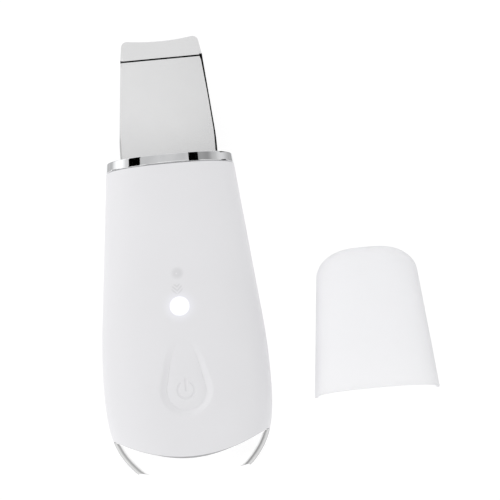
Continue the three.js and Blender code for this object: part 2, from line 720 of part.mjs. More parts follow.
// Charging inlet: a metal mouth open to the tail, with a tongue inside, on its own small board.
function chargeSocket() {
  const tongueY = [SOCKET_FRONT_Y + 0.8, SOCKET_BACK_Y - 0.5];
  const tongue = box(-3.3, 3.3, ...tongueY, SEAM_Z - 0.35, SEAM_Z + 0.35);
  return prismAlongY(stadium(0), SOCKET_FRONT_Y, SOCKET_BACK_Y, 5)
    .subtract(prismAlongY(stadium(-0.3), SOCKET_FRONT_Y - 1, SOCKET_BACK_Y - 0.8, 5))
    .add(tongue);
}
add("charge_socket", chargeSocket(), "steel");
const chargeBoardTop = SEAM_Z - SOCKET_HALF_HEIGHT - GAP;
const CHARGE_BOARD_Y = [FRAME_BACK_Y + GAP, -22.1];
const chargeBoard = box(-8, 8, ...CHARGE_BOARD_Y, chargeBoardTop - 1, chargeBoardTop);
add("charge_board", chargeBoard, "board");

// ---------------------------------------------------------------- the cap

// Half width of the cap, and its height above the table, at a distance from its mouth.
function capRound(distance) {
  const t = Math.max(0, (distance - CAP_SHOULDER) / (CAP_LENGTH - CAP_SHOULDER));
  return Math.sqrt(Math.max(0, 1 - t ** 2.2));
}

function capSection(distance, inset) {
  const along = distance / CAP_SHOULDER;
  const width = CAP_MOUTH_HALF + (CAP_SHOULDER_HALF - CAP_MOUTH_HALF) * along;
  const height = CAP_MOUTH_HEIGHT + (CAP_SHOULDER_HEIGHT - CAP_MOUTH_HEIGHT) * along;
  const round = capRound(distance);
  const share = 0.3 + 0.7 * round;
  return {
    halfWidth: width * share - inset,
    halfHeight: (height / 2) * share - inset,
    centre: height / 2,
  };
}

function capPoint(distance, angle, inset) {
  const { halfWidth, halfHeight, centre } = capSection(distance, inset);
  const c = Math.cos(angle);
  const s = Math.sin(angle);
  const power = 2 / CAP_POWER;
  const x = Math.sign(c) * halfWidth * Math.abs(c) ** power;
  const z = centre + Math.sign(s) * (halfHeight + (s < 0 ? 0.3 : 0)) * Math.abs(s) ** power;
  return [CAP_X + x, Math.max(z, centre - halfHeight)];
}

const CAP_STATIONS = [0, 19, 39, 42.1, 44.7, 46.6, 47.6, CAP_LENGTH];
const CAP_SIDES = 24;

function capSolid(inset, extra) {
  const last = CAP_LENGTH - inset;
  const stations = CAP_STATIONS.map((d) => CAP_MOUTH_Y + (d / CAP_LENGTH) * last);
  stations[0] -= extra;
  const distanceOf = (y) => ((y - CAP_MOUTH_Y) / last) * CAP_LENGTH;
  return skin(
    stations,
    CAP_SIDES,
    (y) => [CAP_X, capSection(distanceOf(y), inset).centre],
    (y, angle) => capPoint(distanceOf(y), angle, inset),
  );
}

function capShell() {
  const shell = capSolid(0, 0).subtract(capSolid(CAP_WALL, 1));
  // Four ribs that grip the edges of the blade.
  let ribs = null;
  for (const side of SCREW_SIDES) {
    for (const z of [5.6, 10]) {
      const x = CAP_X + side * 17.4;
      const rib = box(x - 1.8, x + 1.8, CAP_MOUTH_Y + 4, CAP_MOUTH_Y + 14, z - 0.5, z + 0.5);
      ribs = ribs ? ribs.add(rib) : rib;
    }
  }
  // The lower half of the mouth slopes back, which leaves a grip for a thumb.
  const cut = new THREE.Shape();
  cut.moveTo(CAP_MOUTH_HEIGHT / 2, -60);
  cut.lineTo(CAP_MOUTH_HEIGHT / 2, CAP_MOUTH_Y);
  cut.lineTo(-2, CAP_MOUTH_Y + CAP_MOUTH_SLOPE * (CAP_MOUTH_HEIGHT / 2 + 2));
  cut.lineTo(-2, -60);
  cut.closePath();
  const geometry = new THREE.ExtrudeGeometry(cut, { depth: 60, bevelEnabled: false });
  geometry.rotateY(-Math.PI / 2);
  geometry.translate(CAP_X + 30, 0, 0);
  return shell.add(ribs.intersect(capSolid(CAP_WALL / 2, 0))).subtract(toSolid(geometry));
}
add("cap_shell", capShell(), "frosted");

export default group;
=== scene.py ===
"""Looks of an ultrasonic skin scrubber and its cap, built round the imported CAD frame.

The frame is in metres. Part dimensions are written in millimetres, as the CAD has them, and
multiplied by MM when a mesh is made. +Z is the front (key side) and +Y points to the blade tip.
"""

import json
import math

import bpy
import numpy as np
from mathutils import Matrix, Vector
from mathutils.geometry import delaunay_2d_cdt


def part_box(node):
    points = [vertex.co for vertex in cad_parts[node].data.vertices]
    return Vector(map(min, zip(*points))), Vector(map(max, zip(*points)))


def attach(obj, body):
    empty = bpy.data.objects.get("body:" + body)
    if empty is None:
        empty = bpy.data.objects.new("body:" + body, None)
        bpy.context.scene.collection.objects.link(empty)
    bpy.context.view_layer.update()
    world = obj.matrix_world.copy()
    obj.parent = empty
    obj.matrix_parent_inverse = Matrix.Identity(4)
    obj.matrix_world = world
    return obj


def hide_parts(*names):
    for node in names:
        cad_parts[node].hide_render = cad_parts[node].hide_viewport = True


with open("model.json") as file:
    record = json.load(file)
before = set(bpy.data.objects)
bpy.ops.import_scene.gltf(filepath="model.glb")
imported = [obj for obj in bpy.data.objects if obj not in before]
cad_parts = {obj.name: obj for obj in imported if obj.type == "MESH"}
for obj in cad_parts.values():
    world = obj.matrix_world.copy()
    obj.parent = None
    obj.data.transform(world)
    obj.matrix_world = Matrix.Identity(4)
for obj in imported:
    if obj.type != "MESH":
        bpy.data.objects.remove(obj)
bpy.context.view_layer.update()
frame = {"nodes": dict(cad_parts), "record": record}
SCENE = bpy.context.scene
MM = 0.001

# ---- dimensions, millimetres

def extent(node):
    """A CAD node's lowest and highest corners in millimetres."""
    return [[round(value / MM, 3) for value in corner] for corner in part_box(node)]


COLLAR_LOW, COLLAR_HIGH = extent("chrome_collar")
BLADE_LOW, BLADE_HIGH = extent("spatula_blade")
CAP_LOW, CAP_HIGH = extent("cap_shell")
SKIRT_LOW, _ = extent("clear_skirt")
KEY_LOW, _ = extent("power_button")

BLADE_HALF_THICK = 0.5
BLADE_HALF_WIDTH = BLADE_HIGH[0]
BLADE_FOLD_Y = 96.9
BLADE_FOLD_HALF = 13.4
BLADE_TIP_HALF = 12.7
BLADE_TIP_FLARE = 4.4  # how far past the fold the sides still draw in
BLADE_TIP_LENGTH = 6.63
BLADE_TIP_ANGLE = math.radians(30)
BLADE_BEND = 1.45
BEVEL = (0.62, 0.42)  # its width and depth
BEVEL_AT_FOLD = 1.4  # how much larger it is in the corners of the fold
BLADE_RIM = np.array([0, 0.2, 0.41, BEVEL[0], 0.7, 0.95, 1.4, 2.1])  # columns in from each side
FOLD_START = BLADE_FOLD_Y - BLADE_BEND * math.tan(BLADE_TIP_ANGLE / 2)

SEAM_Z = BLADE_LOW[2] + BLADE_HALF_THICK
SEAM_GAP = 0.06
WALL = 1.8
POWER = 2.5  # of the rounded section
COLLAR_Y = (COLLAR_LOW[1], COLLAR_HIGH[1])
CASING_END_Y = COLLAR_LOW[1] - 0.12
TAIL_ARC = (-36.95, 41.6)  # lowest y and radius
SKIRT_ARC = (SKIRT_LOW[1], 50.0)
REAR_SLOPE = 0.5
SKIRT_WALLS = (3.0, 1.0)  # at its sides and at its faces
SKIRT_ROUND = 0.35
SKIRT_INNER_ROUND = 0.3
EDGE_ROUND = 0.16

# Teardrops are given by the radius of their round end and the y of their tip.
DISH_RIM = (8.85, 2.45)
DISH_FOOT = (6.58, 0.18)
KEY_OUTLINE = (6.514, 0.114)
KEY_RADIUS = 6.5  # of the CAD's round end
KEY_Y = KEY_LOW[1] + KEY_RADIUS
KEY_DOME = (0.24, 2.6)  # its height and how far in it rises
KEY_THICKNESS = 1.2
DISH_DEPTH = 0.9
DISH_RUN_OUT = (-13.5, 1.2)
OPENING_ROUND = 0.06
PATCH_HALF = 11.4  # of the finer mesh round the dish, along the section
PATCH_ROWS = (10.6, 42.6)
SYMBOL_RADIUS = 2.75
SYMBOL_GAP = math.radians(38)
LED_Y = [sum(corner[1] for corner in extent(f"mode_led_{k}")) / 2 for k in (1, 2, 3)]

CAP_X = (CAP_LOW[0] + CAP_HIGH[0]) / 2
CAP_HALF_WIDTH = (CAP_HIGH[0] - CAP_LOW[0]) / 2
CAP_HEIGHT = CAP_HIGH[2]
CAP_TAPER = (3.7, 2.7)  # in half width and in height, from the mouth to the shoulder
CAP_MOUTH_Y = CAP_LOW[1]
CAP_LENGTH = CAP_HIGH[1] - CAP_LOW[1]
CAP_SHOULDER = 39.0
CAP_WALL = 1.2
CAP_MOUTH_SLOPE = 0.52
CAP_POWER = 2.6
CAP_END_POWER = 2.2


# ---- curves and the body surface

def outline(start, *segments, steps=60):
    """Points of a path of lines (1 point) and cubic curves (3 points)."""
    points = [np.array(start, float)]
    for segment in segments:
        p0 = points[-1]
        if len(segment) == 1:
            points.append(np.array(segment[0], float))
            continue
        p1, p2, p3 = (np.array(p, float) for p in segment)
        for t in np.linspace(0, 1, steps + 1)[1:]:
            u = 1 - t
            points.append(u ** 3 * p0 + 3 * u ** 2 * t * p1 + 3 * u * t * t * p2 + t ** 3 * p3)
    return np.array(points)


def profile(*path):
    """value(y) of a path drawn in the (y, value) plane with y falling."""
    points = outline(*path)[::-1]
    return lambda y: np.interp(y, points[:, 0], points[:, 1])


half_width = profile((70, 19.75), [(14.7, 25.25)], [(11, 25.62), (2, 26.84), (-11.3, 26.84)],
                     [(-29.3, 26.84), (-34.5, 24.2), (-44, 13.1)])
front_height = profile((70, 18.9), [(62.8, 19.4)], [(40, 21), (16, 21.9), (-8, 21.9)],
                       [(-24, 21.9), (-37, 20.4), (-44, 16.8)])
back_height = profile((70, 3), [(62.8, 2.2)], [(55, 1.4), (46, -0.35), (36, -0.35)], [(-22, -0.35)],
                      [(-31, -0.35), (-38, 1.6), (-44, 4.8)])


def soft_floor(z, level, reach=0.35):
    """z, kept above level, with the corner rounded over reach."""
    near = np.clip(reach - np.abs(z - level), 0, None) / reach
    return np.maximum(z, level) + near ** 2 * reach / 4


def body_point(y, angle, inset=0.0, face_inset=None):
    """Points of the body's section at y, moved inwards at the sides and at the faces."""
    face_inset = inset if face_inset is None else face_inset
    given = (np.asarray(value, float) for value in (y, angle, inset, face_inset))
    y, angle, inset, face = np.broadcast_arrays(*given)
    c, s = np.cos(angle), np.sin(angle)
    x = np.sign(c) * (half_width(y) - inset) * np.abs(c) ** (2 / POWER)
    up = SEAM_Z + (front_height(y) - face - SEAM_Z) * np.abs(s) ** (2 / POWER)
    down = SEAM_Z - (SEAM_Z - back_height(y) - face) * np.abs(s) ** (2 / POWER)
    return np.stack([x, y, np.where(s >= 0, up, soft_floor(down, face))], -1)


def arc_y(x, arc):
    y0, radius = arc
    return y0 + radius - np.sqrt(radius ** 2 - x ** 2)


def edge_y(angle, inset, arc, face_inset=None):
    """The y at which the inset surface meets the arc, which leans forward below the joint."""
    angle, inset = np.broadcast_arrays(np.asarray(angle, float), np.asarray(inset, float))
    low, high = np.full(angle.shape, -43.9), np.full(angle.shape, -18.0)
    for _ in range(34):
        middle = (low + high) / 2
        point = body_point(middle, angle, inset, face_inset)
        below = middle < arc_y(point[..., 0], arc) + REAR_SLOPE * np.clip(SEAM_Z - point[..., 2], 0, None)
        low, high = np.where(below, middle, low), np.where(below, high, middle)
    return (low + high) / 2


def fillet(distance, radius=EDGE_ROUND):
    """How far a rounded edge stands back, at a distance from it."""
    d = np.clip(radius - np.asarray(distance, float), 0, None)
    return radius - np.sqrt(np.clip(radius ** 2 - d ** 2, 0, None))


def arc_table(half=24.0, height=10.6):
    """Angle against distance along a middling section, to spread points evenly over every section."""
    angle = np.linspace(0, math.pi, 6001)
    x = half * np.sign(np.cos(angle)) * np.abs(np.cos(angle)) ** (2 / POWER)
    z = height * np.abs(np.sin(angle)) ** (2 / POWER)
    length = np.concatenate([[0], np.cumsum(np.hypot(np.diff(x), np.diff(z)))])
    return length, angle


ARC_LENGTHS, ARC_ANGLES = arc_table()
HALF_ARC = ARC_LENGTHS[-1]


def round_section(count):
    """Angles round the whole section, count to each half, spread evenly over it."""
    half = np.interp(np.linspace(0, HALF_ARC, count + 1), ARC_LENGTHS, ARC_ANGLES)[:-1]
    return np.concatenate([half, half + math.pi])


def angle_over(plan):
    """The section angle of the front surface over each (x, y)."""
    x, y = plan[:, 0], plan[:, 1]
    return np.arccos(np.sign(x) * np.abs(x / half_width(y)) ** (POWER / 2))


def graded(start, end, step, fine=(0, 0.02, 0.06, 0.11, 0.16, 0.4, 0.9)):
    """Distances from start to end: fine near both ends, even between."""
    fine = np.array(fine)
    count = max(2, int(round((end - start - 2 * fine[-1]) / step)))
    middle = np.linspace(start + fine[-1], end - fine[-1], count + 1)[1:-1]
    return np.concatenate([start + fine, middle, (end - fine)[::-1]])


# ---- meshes

def signed_volume(points, faces):
    corners = np.array([(f[0], f[i], f[i + 1]) for f in faces for i in range(1, len(f) - 1)])
    a, b, c = (points[corners[:, k]] for k in range(3))
    return float((a * np.cross(b, c)).sum())


def outward(points, faces):
    turn = -1 if signed_volume(points, faces) < 0 else 1
    return [tuple(f[::turn]) for f in faces]


def grid_faces(rows, columns, wrap_rows=False, wrap_columns=False, skip=None):
    faces = []
    for i in range(rows if wrap_rows else rows - 1):
        for j in range(columns if wrap_columns else columns - 1):
            if skip and skip(i, j):
                continue
            a, b = i * columns + j, i * columns + (j + 1) % columns
            c, d = ((i + 1) % rows) * columns + (j + 1) % columns, ((i + 1) % rows) * columns + j
            faces.append((a, b, c, d))
    return faces


def boundary_loops(faces):
    """Directed edges that only one face has."""
    edges = dict.fromkeys(pair for face in faces for pair in zip(face, face[1:] + face[:1]))
    return [(a, b) for a, b in edges if (b, a) not in edges]


def thick(outer, inner, faces):
    """A closed body from one sheet's faces with its outer and inner points."""
    count = len(outer)
    faces = [tuple(f) for f in faces]
    closed = faces + [tuple(i + count for i in f[::-1]) for f in faces]
    closed += [(b, a, a + count, b + count) for a, b in boundary_loops(faces)]
    return np.concatenate([outer, inner]), closed


def join(*bodies):
    points, faces, start = [], [], 0
    for p, f in bodies:
        p = np.asarray(p, float)
        faces += [tuple(i + start for i in face) for face in outward(p, f)]
        points.append(p)
        start += len(p)
    return np.concatenate(points), faces


def loop_solid(sections):
    """A ring: sections[k] is the closed loop of points at step k of the ring."""
    sections = np.asarray(sections)
    rows, columns = sections.shape[:2]
    return sections.reshape(-1, 3), grid_faces(rows, columns, True, True)


def turned(profile_points, x, y, segments=48):
    """A solid of revolution about a vertical line, from (radius, z) points that start and end on it."""
    points, faces, rings = [], [], []
    turns = [2 * math.pi * k / segments for k in range(segments)]
    for r, z in profile_points:
        rings.append([len(points) + (k if r else 0) for k in range(segments)])
        points += [(x + r * math.cos(a), y + r * math.sin(a), z) for a in (turns if r else [0])]
    for lower, upper in zip(rings, rings[1:]):
        for k in range(segments):
            quad = [lower[k], lower[(k + 1) % segments], upper[(k + 1) % segments], upper[k]]
            face = tuple(dict.fromkeys(quad))
            if len(face) > 2:
                faces.append(face)
    return np.array(points, float), faces


def bar(x0, x1, y0, y1, z0, z1, r=0.25, steps=4):
    """A block with its long edges, along Y, rounded, and its ends eased."""
    ring = []
    for cx, cz, start in ((x1 - r, z1 - r, 0), (x0 + r, z1 - r, 1), (x0 + r, z0 + r, 2), (x1 - r, z0 + r, 3)):
        for k in range(steps + 1):
            a = math.pi / 2 * (start + k / steps)
            ring.append((cx, cz, math.cos(a), math.sin(a)))
    rows = []
    ends = ((0, r), (0.3 * r, 0.3 * r), (r, 0))
    for y, pull in [(y0 + d, pull) for d, pull in ends] + [(y1 - d, pull) for d, pull in ends[::-1]]:
        rows.append([(cx + (r - pull) * c, y, cz + (r - pull) * s) for cx, cz, c, s in ring])
    count = len(ring)
    points = np.array(rows).reshape(-1, 3)
    faces = grid_faces(len(rows), count, False, True)
    faces += [tuple(range(count))[::-1], tuple(range(len(points) - count, len(points)))]
    return points, faces


def piece(name, solid, body, look, replaces=(), sharp=38.0):
    points, faces = join(solid)
    mesh = bpy.data.meshes.new(name)
    mesh.from_pydata((points * MM).tolist(), [], faces)
    mesh.update()
    mesh.shade_smooth()
    mesh.set_sharp_from_angle(angle=math.radians(sharp))
    mesh.materials.append(look)
    made = bpy.data.objects.new(name, mesh)
    SCENE.collection.objects.link(made)
    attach(made, body)
    if replaces:
        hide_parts(*replaces)
    return made


# ---- the key's teardrop

def teardrop(radius, tip_y, sides=26, turns=64):
    """Closed outline: a circle about the key's centre, drawn out to a broad, blunt tip."""
    shoulder = 0.26
    sx, sy = radius * math.cos(shoulder), KEY_Y + radius * math.sin(shoulder)
    pull, nose = (tip_y - sy) * 0.45, radius * 0.6
    bend = (sx - pull * math.tan(shoulder), sy + pull)
    right = outline((sx, sy), [bend, (nose, tip_y), (0, tip_y)], steps=sides)
    left = right[::-1][1:] * (-1, 1)
    a = np.linspace(math.pi - shoulder, 2 * math.pi + shoulder, turns + 1)[1:-1]
    return np.concatenate([right, left, np.stack([radius * np.cos(a), KEY_Y + radius * np.sin(a)], -1)])


def dish_share(y):
    """The dish is full depth at its round end and runs out towards its tip."""
    t = np.clip((y - DISH_RUN_OUT[0]) / (DISH_RUN_OUT[1] - DISH_RUN_OUT[0]), 0, 1)
    return 1 - 0.93 * t * t * (3 - 2 * t)


def inside(points, ring):
    x, y = points[:, 0], points[:, 1]
    result = np.zeros(len(points), bool)
    for (x0, y0), (x1, y1) in zip(ring, np.roll(ring, -1, 0)):
        crosses = (y0 > y) != (y1 > y)
        with np.errstate(divide="ignore", invalid="ignore"):
            result ^= crosses & (x < (x1 - x0) * (y - y0) / (y1 - y0) + x0)
    return result


def distance_to(points, ring):
    """Distance from each point to a closed outline."""
    a, b = ring, np.roll(ring, -1, 0)
    ab = b - a
    t = np.clip(((points[:, None] - a) * ab).sum(-1) / (ab ** 2).sum(-1), 0, 1)
    return np.linalg.norm(points[:, None] - (a + ab * t[..., None]), axis=-1).min(1)


def triangulate(points, loops):
    """Triangles over points, holding the edges of the given index loops."""
    edges = [(a, b) for loop in loops for a, b in zip(loop, loop[1:] + loop[:1])]
    result = delaunay_2d_cdt([Vector(p) for p in points.tolist()], edges, [], 0, 1e-7)
    back = [ids[0] if ids else -1 for ids in result[3]]
    faces = [tuple(back[i] for i in face) for face in result[2]]
    return np.array([f for f in faces if -1 not in f and len(set(f)) == 3])


def ring_loops(count, size, start=0):
    """Index loops of count rings of size points each."""
    return [[start + n * size + k for k in range(size)] for n in range(count)]


# ---- casings

def casing_grid(sign, seam_step=1.15, row_step=1.15):
    """Grid of (angle, y, inset) over a casing; sign is 1 for the front and -1 for the back."""
    arcs = graded(SEAM_GAP, HALF_ARC - SEAM_GAP, seam_step)
    rows = graded(0, CASING_END_Y - TAIL_ARC[0], row_step)
    angles = sign * np.interp(arcs, ARC_LENGTHS, ARC_ANGLES)
    tail = edge_y(angles, 0, TAIL_ARC)
    share = rows / rows[-1]
    y = tail[None, :] + (CASING_END_Y - tail)[None, :] * share[:, None]
    seam = np.minimum(arcs - arcs[0], arcs[-1] - arcs)
    ends = np.minimum(rows, rows[-1] - rows)
    inset = np.maximum(fillet(seam)[None, :], fillet(ends)[:, None])
    angles = np.broadcast_to(angles, y.shape)
    return arcs, rows, angles.ravel(), y.ravel(), inset.ravel()


def dish_rings():
    """Outlines from the dish's rim down its wall to the rounded edge of the key's opening."""
    rim, foot = teardrop(*DISH_RIM), teardrop(*DISH_FOOT)
    edge = teardrop(DISH_FOOT[0] - OPENING_ROUND, DISH_FOOT[1] - OPENING_ROUND)
    steps = np.array([0, 0.07, 0.15, 0.24, 0.34, 0.45, 0.56, 0.67, 0.78, 0.88, 1.0])
    rings = [rim + (foot - rim) * t for t in steps]
    depths = [DISH_DEPTH * t * t * (3 - 2 * t) for t in steps]
    for d in (0.035, 0.015, 0.0):
        rings.append(foot + (edge - foot) * (1 - d / OPENING_ROUND))
        depths.append(DISH_DEPTH + float(fillet(d, OPENING_ROUND)))
    return rings, depths


def front_casing():
    """The grid with a patch round the key cut out and filled again with the dish."""
    arcs, rows, angle, y, inset = casing_grid(1)
    columns = len(arcs)
    inner_columns = np.where(np.abs(arcs - HALF_ARC / 2) < PATCH_HALF)[0]
    inner_rows = np.where((rows > PATCH_ROWS[0]) & (rows < PATCH_ROWS[1]))[0]
    c0, c1, r0, r1 = inner_columns[0], inner_columns[-1], inner_rows[0], inner_rows[-1]
    faces = grid_faces(len(rows), columns, skip=lambda i, j: r0 <= i < r1 and c0 <= j < c1)

    rings, depths = dish_rings()
    size = len(rings[0])
    ring_xy = np.concatenate(rings)
    ring_angle = angle_over(ring_xy)
    ring_arc = np.interp(ring_angle, ARC_ANGLES, ARC_LENGTHS)
    ring_tail = edge_y(ring_angle, 0, TAIL_ARC)
    ring_row = (ring_xy[:, 1] - ring_tail) / (CASING_END_Y - ring_tail) * rows[-1]

    # The patch is triangulated in the flat plan of the grid, holding its border and every ring.
    grid_plan = np.stack(np.meshgrid(arcs, rows), -1).reshape(-1, 2)
    ring_plan = np.stack([ring_arc, ring_row], -1)
    in_box = [i * columns + j for i in range(r0, r1 + 1) for j in range(c0, c1 + 1)]
    plan = grid_plan[in_box]
    keep = ~inside(plan, ring_plan[:size]) & (distance_to(plan, ring_plan[:size]) > 0.45)
    border = [r0 * columns + j for j in range(c0, c1)] + [i * columns + c1 for i in range(r0, r1)]
    border += [r1 * columns + j for j in range(c1, c0, -1)] + [i * columns + c0 for i in range(r1, r0, -1)]
    kept = [k for k, ok in zip(in_box, keep) if ok]
    local = kept + list(range(len(angle), len(angle) + len(ring_plan)))
    spot = {k: n for n, k in enumerate(local)}
    points = np.concatenate([grid_plan[kept], ring_plan])
    triangles = triangulate(points, [[spot[k] for k in border], *ring_loops(len(rings), size, len(kept))])
    triangles = triangles[~inside(points[triangles].mean(1), ring_plan[-size:])]
    faces += [tuple(local[k] for k in triangle) for triangle in triangles.tolist()]
    angle = np.concatenate([angle, ring_angle])
    y = np.concatenate([y, ring_xy[:, 1]])
    inset = np.concatenate([inset, np.repeat(depths, size) * dish_share(ring_xy[:, 1])])
    # Round the key the wall runs straight down, so that the key slides in it with an even gap.
    upright = np.clip(1 - distance_to(body_point(y, angle)[:, :2], rings[-1]) / 4, 0, 1)
    return casing_solid(angle, y, inset, faces, upright[:, None])


def casing_solid(angle, y, inset, faces, upright=None):
    """Closed casing wall from the grid; unused points are left out."""
    inner_inset = np.where(inset < 0.05, WALL, np.minimum(inset, DISH_DEPTH) + WALL)
    used = sorted({i for f in faces for i in f})
    number = {k: n for n, k in enumerate(used)}
    faces = [tuple(number[i] for i in f) for f in faces]
    # Neighbouring triangles and quads may be wound either way, so each is turned to face out.
    outer = body_point(y, angle, inset)[used]
    p = outer[np.array([(f[0], f[1], f[2], f[-1]) for f in faces])]
    normal = np.cross(p[:, 2] - p[:, 0], p[:, 3] - p[:, 1])
    away = (p.mean(1) - (0, 0, SEAM_Z)) * (1, 0, 1)
    outwards = (normal * away).sum(1) >= 0
    turned_faces = [f if ok else f[::-1] for f, ok in zip(faces, outwards)]
    inner = body_point(y, angle, inner_inset)[used]
    if upright is not None:
        inner[:, :1] += (outer - inner)[:, :1] * upright[used]
    return thick(outer, inner, turned_faces)


def rear_casing():
    arcs, rows, angle, y, inset = casing_grid(-1, 0.9, 1.3)
    return casing_solid(angle, y, inset, grid_faces(len(rows), len(arcs)))


def quarter(r):
    """A rounded edge, from its side to its face: how far back and how far in each point lies."""
    return [(r * (1 - math.cos(a)), r * (1 - math.sin(a))) for a in np.linspace(0, math.pi / 2, 6)]


def collar():
    y0, y1 = COLLAR_Y
    corner = quarter(0.22)
    loop = [(y0, WALL)]
    loop += [(y0 + back, inset) for back, inset in corner]
    loop += [(y0 + (y1 - y0) * k / 6, 0) for k in range(1, 6)]
    loop += [(y1 - back, inset) for back, inset in corner[::-1]]
    loop += [(y1, WALL)]
    ys, insets = np.array(loop).T
    return loop_solid([body_point(ys, a, insets) for a in round_section(144)])


def skirt():
    """A hoop, thick at its sides and thin at its faces."""
    angles = round_section(120)
    start = (TAIL_ARC[0] - 0.05, TAIL_ARC[1])
    side, face = SKIRT_WALLS
    y_start, y_end = edge_y(angles, 0, start), edge_y(angles, 0, SKIRT_ARC)
    y_inner, y_root = edge_y(angles, side, SKIRT_ARC, face), edge_y(angles, side, start, face)
    rings = [body_point(y_start - back, angles, pull) for back, pull in quarter(0.05)]
    for share in np.linspace(0, 1, 12)[1:-1]:
        rings.append(body_point(y_start + (y_end + SKIRT_ROUND - y_start) * share, angles))
    rings += [body_point(y_end + back, angles, pull) for back, pull in quarter(SKIRT_ROUND)[::-1]]
    for back, pull in quarter(SKIRT_INNER_ROUND):
        rings.append(body_point(y_inner + back, angles, side - pull, face - pull))
    for share in np.linspace(0, 1, 12)[1:]:
        y = y_inner + SKIRT_INNER_ROUND + (y_root - y_inner - SKIRT_INNER_ROUND) * share
        rings.append(body_point(y, angles, side, face))
    return loop_solid(np.stack(rings, 1))


def symbol_depth(x, y):
    """Engraved standby symbol: an open ring with a bar through its gap."""
    up = y - KEY_Y
    radius, stroke = SYMBOL_RADIUS, 0.4
    r, a = np.hypot(x, up), np.abs(np.arctan2(x, up))
    end = radius * np.array([math.sin(SYMBOL_GAP), math.cos(SYMBOL_GAP)])
    ring = np.where(a > SYMBOL_GAP, np.abs(r - radius), np.hypot(np.abs(x) - end[0], up - end[1]))
    stem = np.hypot(x, up - np.clip(up, -0.1, 3.45))
    d = np.minimum(ring, stem)
    return 0.2 * np.clip((stroke + 0.12 - d) / 0.26, 0, 1) ** 1.3


def lattice(x, low, high, step):
    """Even points over -x to x and low to high."""
    return np.stack(np.meshgrid(np.arange(-x, x + 0.01, step), np.arange(low, high, step)), -1).reshape(-1, 2)


def key():
    """The domed, engraved plate and the stem under it."""
    foot = teardrop(*KEY_OUTLINE)
    edge_in = teardrop(KEY_OUTLINE[0] - 0.2, KEY_OUTLINE[1] - 0.2)
    rings, depths = [], []
    for d in (0, 0.012, 0.03, 0.06, 0.12, 0.2):
        rings.append(foot + (edge_in - foot) * (d / 0.2))
        depths.append(DISH_DEPTH + float(fillet(d, OPENING_ROUND)))
    fine = lattice(3.4, -3.4, 3.61, 0.11) + (0, KEY_Y)
    coarse = lattice(6, -22, -2, 0.5)
    coarse = coarse[(np.abs(coarse[:, 0]) > 3.7) | (np.abs(coarse[:, 1] - KEY_Y - 0.1) > 3.8)]
    coarse = coarse[inside(coarse, edge_in) & (distance_to(coarse, edge_in) > 0.25)]
    plan = np.concatenate(rings + [coarse, fine])
    depth = np.concatenate([np.repeat(depths, len(foot)), np.full(len(coarse) + len(fine), DISH_DEPTH)])
    # The key is slightly domed: it rises from its edge towards the middle.
    height, width = KEY_DOME
    depth -= height * (1 - (1 - np.clip(distance_to(plan, foot) / width, 0, 1)) ** 2) - 0.05
    depth = depth * dish_share(plan[:, 1]) + symbol_depth(plan[:, 0], plan[:, 1])
    triangles = triangulate(plan, ring_loops(len(rings), len(foot)))
    triangles = triangles[inside(plan[triangles].mean(1), foot)]
    angle = angle_over(plan)
    outer = body_point(plan[:, 1], angle, depth)
    inner = body_point(plan[:, 1], angle, DISH_DEPTH + KEY_THICKNESS)
    a, b, c = (plan[triangles[:, k]] for k in range(3))
    upwards = np.cross(b - a, c - a) > 0
    faces = [tuple(f) if up else tuple(f[::-1]) for f, up in zip(triangles.tolist(), upwards)]
    low = KEY_LOW[2]
    stem = turned([(0, low), (1.8, low), (2, low + 0.2), (2, low + 1.4), (0, low + 1.4)], 0, KEY_Y)
    return join(thick(outer, inner, faces), stem)


# ---- blade

def blade_half(s):
    """Half width of the blade at y before the fold, or past it along the folded tip."""
    tang, full = 8.5, BLADE_HALF_WIDTH
    shoulder = [(tang, 54.5), (full, 53.5), (full, 56.5)]
    straight = outline((tang, BLADE_LOW[1]), [(tang, 52)], shoulder, [(full, 66)], steps=30)
    half = np.append(straight[:, 0], [full - 0.08, full - 0.22, BLADE_FOLD_HALF, BLADE_TIP_HALF])
    y = np.append(straight[:, 1], [69.5, 71.5, BLADE_FOLD_Y, BLADE_FOLD_Y + BLADE_TIP_FLARE])
    return float(np.interp(s, y, half))


def blade_stations():
    """Rows of the blade: y along the flat, then shares of the fold, then shares of the tip."""
    from_root = (0, 0.15, 0.5, 1, 5, 10, 16, 20, 22, 22.6, 23.2, 23.7, 24.1, 24.5, 25, 25.6, 26.5, 28, 31,
                 34, 36, 37.5, 39, 40.5, 42, 46, 50, 54, 58, 61, 63.5, 65)
    stations = [("flat", BLADE_LOW[1] + d) for d in from_root]
    stations += [("flat", FOLD_START - d) for d in (1.2, 0.9, 0.6, 0.4, 0.2)]
    stations += [("fold", t) for t in np.linspace(0, 1, 9)]
    return stations + [("tip", t) for t in (0.12, 0.3, 0.5, 0.68, 0.8, 0.88, 0.94, 0.975, 1.0)]


def blade_columns(half, wide):
    """Columns across: close at each edge, with the bevel's crease on one of them, then an even middle."""
    middle = np.linspace(-1, 1, 17)[1:-1] * (half - BLADE_RIM[-1] * wide)
    return np.concatenate([-half + BLADE_RIM * wide, middle, half - BLADE_RIM[::-1] * wide])


def flat_columns(y, wide):
    half = blade_half(y)
    from_root = y - BLADE_LOW[1]
    if from_root < 1:
        half -= 1 - math.sqrt(max(0, 1 - (1 - from_root) ** 2))
    return blade_columns(half, wide)


